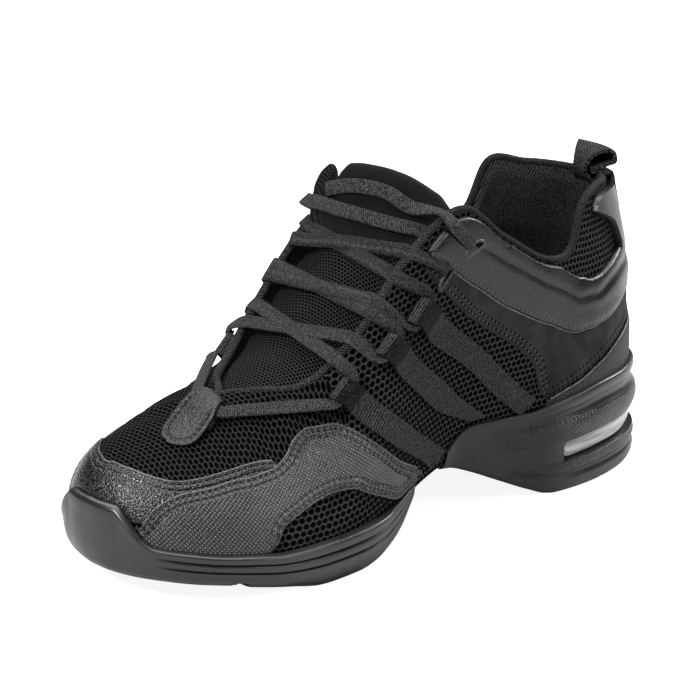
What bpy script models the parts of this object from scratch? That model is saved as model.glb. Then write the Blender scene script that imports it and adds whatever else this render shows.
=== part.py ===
"""Left dance sneaker with a split sole: hollow upper on a last, two soles, tongue, overlays, loops, laces.

X runs to the toe, Y to the outer (lateral) side, Z up; the tables are in millimetres from the heel.
A ring position runs round the feather line: 0 toe tip, 16 back of the heel, 32 toe tip again; under 16 is
the lateral side. A share runs up the wall: 0 at the feather line, 1 at the top line or the vamp ridge.
"""
import bpy
import bmesh
import numpy as np

MM = 0.001
CENTRE_X = 123.394
CENTRE_Y = -0.284
WALL = 2.2
SOLE_GAP = 0.5
OVERLAY_GAP = 0.55
OVERLAY_TOP = 1.45
BAND_TOP = 2.0
UP = np.array([0.0, 0.0, 1.0])
FLAT = np.array([1.0, 1.0, 0.0])

# The last: one row per section round the foot
FEATHER = slice(0, 3)
TOP = slice(3, 6)
RISE = slice(6, 7)
SWELL_LOW = slice(7, 8)
REACH = slice(8, 9)
SWELL_HIGH = slice(9, 10)
DROP = slice(10, 11)
# feather x, y, z | top x, y, z | rise, swell_low, reach, swell_high, drop
LAST = np.array([
    (253, -7, 18, 241, -10, 47, .62, 3, .45, 0, 0),
    (249.5, 9, 17, 239, -10, 47.8, .60, 3, .42, 0, 0),
    (240, 22, 15.5, 232, -8.5, 50.5, .56, 3, .40, 0, 0),
    (225, 33, 13, 219, -5, 55.8, .52, 2.5, .40, 0, 0),
    (207, 40, 11.5, 200, -2, 63.3, .50, 2, .40, 0, 0),
    (188, 42, 11, 191, 8, 66, .50, 1.5, .45, 0, .06),
    (168, 41, 12.5, 176, 21, 68.5, .50, 1, .50, 0, .15),
    (148, 37, 17, 155, 27.5, 86, .45, 1, .40, 1.5, .28),
    (128, 31.5, 22, 134, 27.5, 107, .40, 1, .30, 2.5, .32),
    (108, 28.5, 26, 108, 28, 121, .35, 1, .20, 2.5, .32),
    (85, 28.5, 27, 84, 28.5, 106, .35, 2, .20, 2.5, .32),
    (62, 29.5, 27, 59, 28, 92, .35, 2.5, .20, 3, .32),
    (48, 30.5, 27, 46, 26, 92.5, .35, 2.5, .20, 4, .32),
    (34, 29.5, 27, 38, 23.5, 107, .35, 2.5, .20, 4, .32),
    (15, 23.5, 27, 25, 18.5, 112, .35, 3, .20, 4.5, .32),
    (1.5, 12.5, 27, 11.5, 10, 111, .35, 3.5, .20, 5, .32),
    (-3, 0, 27, 6.5, 0, 110.5, .35, 3.5, .20, 5, .32),
    (1.5, -12.5, 27, 11.5, -10, 112, .35, 3.5, .20, 5, .32),
    (15, -23.5, 27, 27, -18.5, 115, .35, 3, .20, 4.5, .32),
    (34, -29, 27, 43, -24, 116, .35, 2.5, .20, 4, .32),
    (48, -29.5, 27, 51, -26.5, 99, .35, 2.5, .20, 4, .32),
    (62, -28.5, 27, 62, -28, 96, .35, 2.5, .20, 3, .32),
    (85, -26, 28, 84, -28.5, 108, .35, 2, .20, 2.5, .32),
    (108, -25.5, 28, 108, -28, 122, .35, 1, .20, 2.5, .32),
    (128, -28, 25, 134, -27.5, 108, .40, 1, .30, 2.5, .32),
    (148, -34, 19, 155, -27.5, 87, .45, 1, .40, 1.5, .28),
    (168, -40, 13, 176, -22, 70, .50, 1, .50, 0, .15),
    (188, -42.5, 11, 191, -12, 66.5, .60, 1.5, .54, 0, .06),
    (207, -41.5, 11.5, 200, -2, 63.3, .68, 2, .64, 1, 0),
    (225, -38, 13, 219, -5, 55.8, .72, 2.5, .67, 1.5, 0),
    (240, -31, 15.5, 232, -8.5, 50.5, .74, 3, .63, 1.5, 0),
    (250, -20.5, 17, 239, -10, 47.8, .70, 3, .57, 1, 0),
])
RING = len(LAST)
HEEL = RING // 2
THROAT_FRONT = 4.0
COLUMNS_PER_ROW = 3
SHARES = np.array([0, .12, .28, .46, .64, .82, 1])
ARCH_FRONT = 22 / COLUMNS_PER_ROW
ARCH_REAR = 27 / COLUMNS_PER_ROW
FLOOR_STEPS = 4
FLOOR_SAG = 1.0

# Split sole: ring distance from the toe tip -> share of the wall that the lip covers
FORE_LIP = [(0, .40), (.8, .385), (1.1, .275), (1.35, .17), (1.65, .115), (2.5, .10), (3.4, .088),
            (4.1, .072), (4.9, .075), (5.6, .07), (6.25, .052), (6.8, .03), (8, .025)]
LIP_STEPS = [1, .62, .3, 0]
HEEL_LIP = [(8.5, .02), (9.3, .10), (10.6, .106), (11.1, .132), (12, .155), (14, .14), (16, .15)]
# Ring distance from the toe tip -> height of the ground side
FORE_BOTTOM = [(0, 9.3), (1, 8.8), (1.5, 8.4), (2, 7.7), (2.5, 6.8), (3, 5.9), (3.5, 4.3), (4, 2.7), (4.5, 1.2),
               (5, 0), (6, 0), (6.5, 1.2), (7, 5), (7.334, 9.5), (7.667, 16.5)]
HEEL_BOTTOM = [(8.667, 22), (9, 20.6), (9.333, 17.6), (10, 10.4), (10.667, 3.4), (11, .6), (11.333, 0),
               (16, 0)]
FORE_REAR_RINGS = [7.667, 7.333, 7, 6.5, 6, 5.5, 5, 4.5, 4, 3.5]
HEEL_FRONT_RINGS = [8.667, 9, 9.5, 10, 10.5, 11, 11.333]
# Side of the forefoot: share of its height, how far it stands out, depth of the groove there
FORE_SIDE = [(0, 0, 0), (.10, 1.0, 0), (.26, 2.2, 0), (.34, 2.8, 0), (.375, 3.0, .8), (.41, 3.2, 0),
             (.58, 3.8, 0), (.615, 3.9, .8), (.65, 4.1, 0), (.93, 4.4, 0), (1.0, 3.2, 0)]
FORE_TUCK = [(0, .8), (2, .92), (3, 1), (6, 1), (7.667, .25)]
# Ring distance from the toe tip -> how far the ground edge is drawn in; it fades out at this share of the side
FORE_UNDER = [(0, 3), (4.2, 3), (5.3, 0), (8, 0)]
FORE_UNDER_SHARE = .25
FORE_GROOVE = [(0, 0), (1.5, 0), (2.2, 1), (6, 1), (7, .3), (8, 0)]
# Side of the heel: height, how far it stands out at the back, and along the front wedge
HEEL_SIDE = [(0, 2.6, -2.5), (1.6, 4.3, -1.2), (5.2, 4.8, -.6), (7.0, 3.8, -.4), (9.4, 4.9, 0),
             (12.5, 4.3, .2), (13.1, 3.8, .4), (20.3, 3.8, .8), (20.9, 4.1, .9), (23.8, 5.0, 1),
             (27.6, 4.7, 1.2), (31.6, 2.2, 1.4), (35.5, 3.5, 1.6), (38.0, 3.0, 1.6)]
HEEL_FULL = [(8.5, 0), (9.6, .12), (10.6, .7), (11.4, 1), (16, 1)]
HEEL_REFERENCE = 38.0
WINDOW_ROWS = (6, 7)
WINDOW_DEPTH = 6.5
WINDOW_ENDS = (11.5, 20.5)
WINDOW_CLEAR = .16
WINDOW_SET_IN = 1.2
WINDOW_BEHIND = .4
WINDOW_FILL = (.06, .94)
TREAD_GROOVE_X = 220.0
TREAD_GROOVE_Z = 5.0
TREAD_GROOVE_WIDTH = 3.4
TREAD_GROOVE_DEPTH = 1.8

INSOLE_INSET = 4.0
INSOLE_THICK = 3.0
INSOLE_STEPS = 4
INSOLE_STATIONS = [.2, .7, 1.3, 2, 3, 4, 5, 6, 7, 8, 9, 10, 11, 12, 13, 14, 14.6, 15.3, 15.8]
INSOLE_LIFT = [(0, 0), (6.6, 0), (7.2, 2.7), (9.15, 2.7), (9.8, 0), (16, 0)]

# Tongue: ring of its edges, their share of the wall, centre x, z, thickness
TONGUE = np.array([
    (3.6, .80, 206, 57.0, 2.4),
    (4.3, .82, 198, 60.3, 2.8),
    (5.2, .86, 188, 64.5, 3.2),
    (6.0, .88, 178, 69, 3.6),
    (6.72, .90, 165.5, 75.5, 4.0),
    (7.4, .91, 153.5, 88.5, 4.6),
    (8.1, .92, 142.5, 101.5, 5.4),
])
# Free top of the tongue: ring, lateral x, y, z, centre x, y, z, medial x, y, z, thickness
TONGUE_TOP = np.array([
    (8.7, 116, 24.2, 112.5, 134.5, -1, 114.5, 135, -24, 112, 6.2),
    (9.2, 108.5, 22.8, 118, 127.5, -1, 126.5, 133, -24.5, 121.5, 7.0),
    (9.7, 103.5, 21, 121.5, 124, -1, 136.5, 131, -24, 130, 5.5),
])
TONGUE_FRONT = 3.6
TONGUE_END = 9.7
TONGUE_RINGS = [3.6, 4, 4.4, 4.8, 5.25, 5.65, 6.05, 6.45, 6.85, 7.3, 7.7, 8.1, 8.4, 8.7, 8.95, 9.2,
                9.45, 9.7]
TONGUE_COLUMNS = 8
TONGUE_TAPER = .45
TONGUE_TUCK = WALL + 1.0

# Overlays: ring, share of the lower edge, share of the upper edge
TOE_CAP = [(-2.6, .50, .56), (-2.2, .455, .64), (-1.8, .39, .70), (-1.4, .29, .76), (-1.15, .31, .80),
           (-.8, .41, .83), (0, .425, .84), (.6, .41, .83), (.9, .385, .79), (1.15, .29, .745), (1.4, .30, .70),
           (1.8, .40, .62), (2.5, .465, .525), (3.4, .468, .506), (4.1, .455, .488), (4.35, .462, .482)]
MUDGUARD = [(1.3, .215, .23), (1.45, .165, .275), (1.8, .13, .375), (2.5, .118, .445), (3.3, .106, .448),
            (3.8, .105, .432), (4.17, .188, .438), (4.53, .228, .475), (5.03, .268, .58), (5.45, .283, .638),
            (5.88, .263, .645), (6.12, .215, .58), (6.5, .14, .42), (7.15, .045, .20), (7.85, .04, .06)]
QUARTER = [(8.3, .875, .905), (8.65, .70, .80), (9.2, .552, .672), (9.9, .497, .64), (10.33, .445, .628),
           (10.7, .35, .61), (10.86, .20, .60), (11, .176, .59), (11.9, .228, .515), (13.1, .252, .40),
           (13.75, .296, .425), (14.6, .335, .468), (15.2, .365, .49), (15.94, .385, .50)]
COLLAR = [(8.35, .925, .955), (8.6, .83, .965), (9.2, .69, .972), (10.1, .648, .972), (10.85, .62, .972),
          (11.2, .59, .965), (11.68, .548, .91), (12.28, .50, .80), (12.85, .435, .68), (13.35, .42, .644),
          (13.9, .443, .662), (14.4, .472, .69), (14.7, .49, .73), (14.9, .498, .85), (15.1, .505, .965),
          (15.3, .512, .972), (16, .52, .972)]
COUNTER = [(11.0, .145, .160), (11.9, .175, .212), (13.1, .168, .236), (13.75, .158, .28), (14.6, .162, .319),
           (15.2, .166, .349), (16, .17, .37)]

# Ring positions of the overlays' columns; the collar's and the counter's are of the lateral half
TOE_CAP_RINGS = np.append(np.arange(-2.6, 4.3, 1 / COLUMNS_PER_ROW), 4.35)
MUDGUARD_RINGS = np.concatenate([[1.3, 1.45], np.arange(5, 24) / COLUMNS_PER_ROW, [7.85]])
QUARTER_RINGS = [8.3, 8.65, 9, 9.4, 9.9, 10.33, 10.7, 10.86, 11, 11.5, 12, 12.5, 13, 13.5, 14, 14.5, 15,
                 15.5, 15.94]
COLLAR_RINGS = [8.35, 8.6, 9, 9.5, 10, 10.5, 11, 11.35, 11.7, 12, 12.3, 12.6, 12.9, 13.35, 13.9, 14.3, 14.6, 14.75,
                14.9, 15.1, 15.333, 15.667]
COUNTER_RINGS = np.arange(33, 48) / COLUMNS_PER_ROW
LEATHER = (.03, .03, .032)
NUBUCK = (.015, .015, .015)
GREY = (.04, .04, .042)

# Webbing straps: way down, front edge ring and share, rear edge ring and share
STRAPS = [
    [(0, 6.08, .812, 6.43, .881), (.33, 6.43, .544, 6.85, .575),
     (.67, 7.12, .269, 7.70, .250), (1, 8.18, .03, 8.62, .055)],
    [(0, 7.00, .850, 7.33, .858), (.33, 7.52, .531, 7.98, .525),
     (.67, 8.40, .238, 8.90, .256), (1, 9.22, .125, 9.62, .13)],
    [(0, 7.73, .788, 8.09, .815), (.33, 8.48, .488, 8.85, .531),
     (.67, 9.43, .294, 9.75, .381), (1, 10.25, .155, 10.58, .235)],
]
STRAP_LENGTHS = (66.0, 67.0, 77.0)
STRAP_STEPS = 1
# Folded end of a strap or tab: way from the fold, height over the wall
FOLD = [(10.3, 1.1), (5.3, 1.1), (2.3, 1.35), (.8, 2.3), (.6, 3.5), (1.7, 4.8), (4.3, 5.4), (7.8, 4.9),
        (11.8, 3.4), (15.3, 2.0), (18.3, 1.3), (21.3, 1.1)]
STRAP_TAIL = [.40, .52, .67, .83, 1.0]
STRAP_THICK = 1.0
EYE_DOWN = 4.0
EYE_HEIGHT = 3.3

# Vamp tab: way from its fold, half width, how far its middle lies to the lateral side of the ridge
TAB = [(-1, 4.6, 3.0), (4, 5.5, 3.8), (9, 6.9, 4.8), (15, 7.2, 5.6), (20, 6.2, 6.0), (24, 4.0, 6.2), (26.5, 1.9, 6.3)]
TAB_FOLD_RING = 3.93
TAB_RING_PER_MM = 1 / 20.5
TAB_TAIL = [23, 25, 26.3]
TAB_ACROSS = 4

# Heel pull loop: share of the wall, offset from it, extra height
PULL = [(.84, 3.2, 0), (.92, 3.3, 0), (1, 3.8, 0), (1, 4.8, 4.6), (1, 3.8, 8.4), (1, -.9, 9.9), (1, -5.6, 8.4),
        (1, -7.6, 4.6), (1, -5.2, 0), (.95, -3.4, 0), (.88, -3.2, 0)]
PULL_RINGS = .70
PULL_STEPS = 4
PULL_THICK = 1.3

LACE_HALF = 3.2
EYE_HALF = 1.0
WALL_HALF = 1.8
LACE_THICK = 1.4
LACE_LOW = 1.9
LACE_HIGH = 4.1
LACE_OVER_WALL = 3.7
LACE_STEPS = 2
LACE_PARTS = (.2, .35, .5, .65, .8)
LACE_TO_EYE = .20
LACE_TO_RIM = .05
EYE_ACROSS = (-.2, .5, 1.2)
RIM_LIFT = 4.0
# Crossings of the lace: ring where it leaves a loop, ring where it meets the next one
CROSSINGS = [(6.47, 7.04), (7.38, 7.79), (8.14, 8.50)]
# Ends of the long lace: ring, side, lift over a rim or the tongue; ring, share, height on the wall
MEDIAL_RIM = (7.84, -1, 6.4)
MEDIAL_END = (8.52, -.92, 2.6)
LATERAL_RIM = (8.38, 1, 6.2)
LATERAL_END = [(8.43, .90, 4.8), (8.66, .79, 3.4)]
# Lace from the vamp tab to the first loop: way down the tab, mm aside, height; then ring, share, height
LACE_IN_TAB = [(.8, 3.0, 0), (.8, 7.0, .2), (-1.2, 11.0, .8)]
LACE_TO_FIRST = [(4.95, .97, 3.8), (5.55, .90, 3.4)]
# Strands over the top of the tongue: ring, side, lift
TOP_STRAND_1 = [(8.72, .78, 1.9), (8.76, .5, 1.9), (8.82, .1, 1.9), (8.86, -.3, 1.9), (8.9, -.7, 1.9),
                (8.92, -.97, 1.9)]
TOP_STRAND_2 = [(9.16, -.6, 1.9), (9.2, -.3, 1.9), (9.22, 0, 1.9), (9.22, .3, 1.9), (9.12, .6, 4.1)]
TOP_RIM = (8.84, 1, 3.6)
TOP_SLOT = [(8.87, .96, 4.4), (9.0, .89, 3.6)]


def curve(table, at, column=1):
    """Smooth curve through the rows of a table that never overshoots them."""
    table = np.asarray(table, float)
    where = table[:, 0]
    value = table[:, column]
    step = np.diff(where)
    slope = np.diff(value) / step
    product = slope[:-1] * slope[1:]
    total = np.where(product > 0, slope[:-1] + slope[1:], 1.0)
    inner = np.where(product > 0, 2 * product / total, 0.0)
    tangent = np.concatenate([slope[:1], inner, slope[-1:]])
    at = np.clip(at, where[0], where[-1])
    i = np.clip(np.searchsorted(where, at, side="right") - 1, 0, len(step) - 1)
    u = (at - where[i]) / step[i]
    start = (1 + 2 * u) * (1 - u) ** 2 * value[i] + u * (1 - u) ** 2 * step[i] * tangent[i]
    end = u * u * (3 - 2 * u) * value[i + 1] + u * u * (u - 1) * step[i] * tangent[i + 1]
    return start + end


def section(ring):
    """Row of the last blended at a ring position."""
    ring = np.asarray(ring, float) % RING
    i = np.floor(ring).astype(int) % RING
    u = (ring - np.floor(ring))[..., None]
    chord = np.linalg.norm(np.roll(LAST, -1, 0)[:, :2] - LAST[:, :2], axis=1)[:, None]
    before, here, there, after = (LAST[(i + k) % RING] for k in (-1, 0, 1, 2))
    way_in, way, way_out = (chord[(i + k) % RING] for k in (-1, 0, 1))
    leave = ((here - before) / way_in * way + (there - here) / way * way_in) / (way_in + way) * way
    reach = ((there - here) / way * way_out + (after - there) / way_out * way) / (way + way_out) * way
    first = (2 * u ** 3 - 3 * u ** 2 + 1) * here + (u ** 3 - 2 * u ** 2 + u) * leave
    return first + (3 * u ** 2 - 2 * u ** 3) * there + (u ** 3 - u ** 2) * reach


def from_toe(ring):
    """Ring distance from the toe tip, the same on both sides."""
    ring = np.asarray(ring, float) % RING
    return np.minimum(ring, RING - ring)


def plan_normal(ring):
    """Level direction that points out of the foot at the feather line."""
    step = section(np.asarray(ring) + .02)[..., :2] - section(np.asarray(ring) - .02)[..., :2]
    step = step / np.linalg.norm(step, axis=-1, keepdims=True)
    return np.stack([step[..., 1], -step[..., 0], 0 * step[..., 0]], -1)


def wall_point(ring, share):
    """Point of the upper's outer face; the two sides share one ridge in front of the throat."""
    ring = np.asarray(ring, float)
    share = np.asarray(share, float)[..., None]
    row = section(ring)
    closed = (from_toe(ring) <= THROAT_FRONT + 1e-9)[..., None]
    low = row[..., FEATHER]
    top = np.where(closed, (row[..., TOP] + section(RING - ring)[..., TOP]) / 2, row[..., TOP])
    tall = (top - low)[..., 2:]
    out = plan_normal(ring)
    knee = low + out * row[..., SWELL_LOW] + UP * row[..., RISE] * tall
    brow = top + (low - top) * FLAT * row[..., REACH] + out * row[..., SWELL_HIGH]
    brow = brow - UP * row[..., DROP] * tall
    rest = 1 - share
    return rest ** 3 * low + 3 * share * rest ** 2 * knee + 3 * share ** 2 * rest * brow + share ** 3 * top


def wall(ring, share, out=0.0):
    """Point at a distance from the upper's outer face, outward if positive."""
    ring, share, out = np.broadcast_arrays(*(np.asarray(part, float) for part in (ring, share, out)))
    below = np.minimum(share, .98)
    along = wall_point(ring + .03, below) - wall_point(ring - .03, below)
    up = wall_point(ring, np.minimum(share + .02, 1)) - wall_point(ring, np.maximum(share - .02, 0))
    normal = np.cross(along, up)
    normal = normal / np.linalg.norm(normal, axis=-1, keepdims=True)
    return wall_point(ring, share) + normal * out[..., None]


def bed(distance, across, lift):
    """Point of the level between the two feather lines; across runs 0 lateral to 1 medial."""
    lateral = wall_point(distance, 0)
    medial = wall_point(RING - distance, 0)
    sag = FLOOR_SAG * 4 * across * (1 - across)
    return lateral + (medial - lateral) * across + UP * (lift - sag)


def tongue_rows():
    """Rings, lateral edges, centres, medial edges and thicknesses of the tongue's rows."""
    lateral = wall(TONGUE[:, 0], TONGUE[:, 1], -TONGUE_TUCK)
    medial = wall(RING - TONGUE[:, 0], TONGUE[:, 1], -TONGUE_TUCK)
    centre = np.stack([TONGUE[:, 2], 0 * TONGUE[:, 2] - 1, TONGUE[:, 3]], -1)
    rings = np.concatenate([TONGUE[:, 0], TONGUE_TOP[:, 0]])
    lateral = np.concatenate([lateral, TONGUE_TOP[:, 1:4]])
    centre = np.concatenate([centre, TONGUE_TOP[:, 4:7]])
    medial = np.concatenate([medial, TONGUE_TOP[:, 7:10]])
    return rings, lateral, centre, medial, np.concatenate([TONGUE[:, 4], TONGUE_TOP[:, 10]])


TONGUE_ROWS = tongue_rows()


def tongue_point(ring, side):
    """Point of the tongue's outer face; side runs 1 lateral, 0 centre, -1 medial."""
    rings, lateral, centre, medial, _ = TONGUE_ROWS
    tables = [np.column_stack([rings, part]) for part in (lateral, centre, medial)]
    left, mid, right = (np.stack([curve(table, ring, k) for k in (1, 2, 3)], -1) for table in tables)
    handle = 2 * mid - (left + right) / 2
    u = ((1 - np.asarray(side, float)) / 2)[..., None]
    return (1 - u) ** 2 * left + 2 * u * (1 - u) * handle + u ** 2 * right


def tongue(ring, side, out=0.0):
    """Point at a distance from the tongue's outer face."""
    ring, side, out = np.broadcast_arrays(*(np.asarray(part, float) for part in (ring, side, out)))
    above = tongue_point(np.minimum(ring + .05, TONGUE_END), side)
    along = above - tongue_point(np.maximum(ring - .05, TONGUE_FRONT), side)
    cross = tongue_point(ring, np.minimum(side + .05, 1)) - tongue_point(ring, np.maximum(side - .05, -1))
    normal = np.cross(cross, along)
    normal = normal / np.linalg.norm(normal, axis=-1, keepdims=True)
    return tongue_point(ring, side) + normal * out[..., None]


def strap_point(strap, side, way, across, height):
    """Point over a strap: way 0 at the fold to 1 at its foot, across 0 at the front edge to 1 at the rear."""
    table = STRAPS[strap]
    ring = curve(table, way, 1) * (1 - across) + curve(table, way, 3) * across
    share = curve(table, way, 2) * (1 - across) + curve(table, way, 4) * across
    return wall(ring if side > 0 else RING - ring, share, height)


def tab_point(way, aside, height):
    """Point over the vamp tab: way in mm from its fold, aside in mm from the ridge, lateral positive."""
    ring = TAB_FOLD_RING - np.asarray(way) * TAB_RING_PER_MM
    ring = np.where(np.asarray(aside) >= 0, ring, RING - ring)
    rate = np.linalg.norm(wall_point(ring, 1.0) - wall_point(ring, .98), axis=-1) / .02
    return wall(ring, 1 - np.abs(aside) / rate, height)


def paint(obj, name, colour, rough):
    """Gives an object its own material."""
    material = bpy.data.materials.new(name)
    material.use_nodes = True
    shader = material.node_tree.nodes["Principled BSDF"]
    shader.inputs["Base Color"].default_value = (*colour, 1)
    shader.inputs["Roughness"].default_value = rough
    obj.data.materials.append(material)


def finish(name, shape, colour, rough):
    """Turns a mesh in millimetres from the heel into a named object in metres."""
    bmesh.ops.recalc_face_normals(shape, faces=shape.faces)
    for vert in shape.verts:
        vert.co.x -= CENTRE_X
        vert.co.y -= CENTRE_Y
    bmesh.ops.scale(shape, vec=(MM, MM, MM), verts=shape.verts)
    mesh = bpy.data.meshes.new(name)
    shape.to_mesh(mesh)
    shape.free()
    obj = bpy.data.objects.new(name, mesh)
    bpy.context.scene.collection.objects.link(obj)
    paint(obj, name + "_material", colour, rough)
    return obj


def solid_between(name, inner, outer, colour, rough):
    """Closed solid between two grids of points of one size."""
    shape = bmesh.new()
    rows, lines = inner.shape[:2]
    ins = [[shape.verts.new(p) for p in row] for row in inner]
    outs = [[shape.verts.new(p) for p in row] for row in outer]
    for i in range(rows - 1):
        for j in range(lines - 1):
            shape.faces.new((outs[i][j], outs[i + 1][j], outs[i + 1][j + 1], outs[i][j + 1]))
            shape.faces.new((ins[i][j], ins[i][j + 1], ins[i + 1][j + 1], ins[i + 1][j]))
    for i in range(rows - 1):
        for j in (0, lines - 1):
            shape.faces.new((ins[i][j], ins[i + 1][j], outs[i + 1][j], outs[i][j]))
    for j in range(lines - 1):
        for i in (0, rows - 1):
            shape.faces.new((ins[i][j], ins[i][j + 1], outs[i][j + 1], outs[i][j]))
    return finish(name, shape, colour, rough)


def overlay(name, table, rings, rows, mirrored, colour, rough, top=OVERLAY_TOP):
    """Panel over the upper between two edge curves of a table."""
    rings = np.asarray(rings)
    low = curve(table, rings, 1)
    high = curve(table, rings, 2)
    up = np.linspace(0, 1, rows + 1)
    share = low[:, None] + (high - low)[:, None] * up
    around = np.repeat((RING - rings if mirrored else rings)[:, None], rows + 1, 1)
    return solid_between(name, wall(around, share, OVERLAY_GAP), wall(around, share, top), colour, rough)


def both_ways(table):
    """A table of the lateral half continued round the heel to the medial half."""
    return table + [(RING - row[0], *row[1:]) for row in reversed(table) if row[0] < HEEL]


def build_upper():
    """Hollow upper: two faces a wall apart, open at throat and collar, open below but for the arch strip."""
    count = RING * COLUMNS_PER_ROW
    rings = np.arange(count) / COLUMNS_PER_ROW
    ridge = int(THROAT_FRONT * COLUMNS_PER_ROW)
    arch = range(int(ARCH_FRONT * COLUMNS_PER_ROW + .5), int(ARCH_REAR * COLUMNS_PER_ROW + .5) + 1)
    grid = np.meshgrid(rings, SHARES, indexing="ij")
    outer = wall(grid[0], grid[1])
    inner = wall(grid[0], grid[1], -WALL)
    for k in arch:
        inner[[k, count - k], 0] += UP * WALL
    for k in range(1, ridge + 1):
        inner[k, -1] = (inner[k, -1] + inner[count - k, -1]) / 2
    shape = bmesh.new()
    faces = []
    for points in (outer, inner):
        sheet = [[shape.verts.new(p) for p in row[:-1]] for row in points]
        for k in range(count):
            joined = k >= count - ridge
            sheet[k].append(sheet[count - k][-1] if joined else shape.verts.new(points[k, -1]))
        faces.append(sheet)
    outs, ins = faces
    for sheet in faces:
        for k in range(count):
            here, there = sheet[k], sheet[(k + 1) % count]
            for j in range(len(SHARES) - 1):
                shape.faces.new((here[j], there[j], there[j + 1], here[j + 1]))
    for k in range(ridge, count - ridge):
        shape.faces.new((outs[k][-1], outs[k + 1][-1], ins[k + 1][-1], ins[k][-1]))
    strips = {}
    for k in arch:
        across = np.linspace(0, 1, FLOOR_STEPS + 1)[1:-1]
        low = bed(k / COLUMNS_PER_ROW, across[:, None], 0)
        under = [shape.verts.new(p) for p in low]
        over = [shape.verts.new(p + UP * WALL) for p in low]
        strips[k] = ([outs[k][0], *under, outs[count - k][0]], [ins[k][0], *over, ins[count - k][0]])
    for k in arch[:-1]:
        for layer in (0, 1):
            here, there = strips[k][layer], strips[k + 1][layer]
            for m in range(FLOOR_STEPS):
                shape.faces.new((here[m], there[m], there[m + 1], here[m + 1]))
    for k in (arch[0], arch[-1]):
        under, over = strips[k]
        for m in range(FLOOR_STEPS):
            shape.faces.new((under[m], under[m + 1], over[m + 1], over[m]))
    for k in range(count):
        nearest = min(k, count - k), min(k + 1, count - k - 1)
        if min(nearest) < arch[0] or max(nearest) > arch[-1]:
            n = (k + 1) % count
            shape.faces.new((outs[k][0], outs[n][0], ins[n][0], ins[k][0]))
    return finish("upper", shape, (.02, .02, .022), .8)


def sole_solid(name, rings, profile):
    """Sole from one profile per ring column: ground edge up, over the lip, down to the bed."""
    shape = bmesh.new()
    count = len(rings)
    half = count // 2
    columns = [[shape.verts.new(p) for p in profile(ring)] for ring in rings]
    steps = len(columns[0])
    for k in range(count - 1):
        for j in range(steps - 1):
            shape.faces.new((columns[k][j], columns[k + 1][j], columns[k + 1][j + 1], columns[k][j + 1]))
    across = np.linspace(0, 1, FLOOR_STEPS + 1)[1:-1]
    decks = {}
    for level in (0, steps - 1):
        for k in range(half):
            lateral = np.array(columns[k][level].co)
            medial = np.array(columns[count - 1 - k][level].co)
            sag = FLOOR_SAG * 4 * across * (1 - across) if level else 0 * across
            line = [shape.verts.new(lateral + (medial - lateral) * a - UP * s) for a, s in zip(across, sag)]
            decks[level, k] = [columns[k][level], *line, columns[count - 1 - k][level]]
        for k in range(half - 1):
            here, there = decks[level, k], decks[level, k + 1]
            for m in range(FLOOR_STEPS):
                shape.faces.new((here[m], there[m], there[m + 1], here[m + 1]))
        last = decks[level, half - 1]
        tip = columns[half][level]
        for m in range(FLOOR_STEPS):
            shape.faces.new((last[m], last[m + 1], tip))
    low, high = decks[0, 0], decks[steps - 1, 0]
    for m in range(FLOOR_STEPS):
        shape.faces.new((low[m], low[m + 1], high[m + 1], high[m]))
    ends = [shape.faces.new(columns[k]) for k in (0, count - 1)]
    bmesh.ops.triangulate(shape, faces=ends)
    return finish(name, shape, (.03, .03, .032), .5)


def lip_points(ring, lip):
    """Points of the sole's inner face: down the upper from the lip, then under its edge."""
    shares = np.array(LIP_STEPS) * lip
    down = wall(np.full(len(shares), ring), shares, SOLE_GAP)
    down[-1] -= UP * SOLE_GAP
    return list(down)


def fore_profile(ring):
    """Side of the forefoot sole at a ring position, from the ground edge to the bed."""
    distance = float(from_toe(ring))
    lip = float(curve(FORE_LIP, distance))
    low = wall_point(ring, 0)
    high = wall_point(ring, lip)
    ground = float(curve(FORE_BOTTOM, distance))
    deep = float(curve(FORE_GROOVE, distance))
    tuck = float(curve(FORE_TUCK, distance))
    under = float(curve(FORE_UNDER, distance))
    points = []
    for part, out, groove in FORE_SIDE:
        base = low + (high - low) * part
        base[2] = ground + (high[2] - ground) * part
        drawn = under * max(0, 1 - part / FORE_UNDER_SHARE) ** 2
        points.append(base + plan_normal(ring) * (out * tuck - groove * deep - drawn))
    return points + lip_points(ring, lip)


def heel_profile(ring):
    """Side of the heel sole at a ring position; its ribs fade into the front wedge."""
    distance = float(from_toe(ring))
    lip = float(curve(HEEL_LIP, distance))
    high = wall_point(ring, lip)
    low = wall_point(ring, 0)
    ground = float(curve(HEEL_BOTTOM, distance))
    full = float(curve(HEEL_FULL, distance))
    in_window = WINDOW_ENDS[0] < ring < WINDOW_ENDS[1]
    points = []
    for row, (height, back, front) in enumerate(HEEL_SIDE):
        part = height / HEEL_REFERENCE
        base = low + (high - low) * part
        base[2] = ground + (high[2] - ground) * part
        out = front + (back - front) * full
        if in_window and row in WINDOW_ROWS:
            out -= WINDOW_DEPTH
        points.append(base + plan_normal(ring) * out)
    return points + lip_points(ring, lip)


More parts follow.
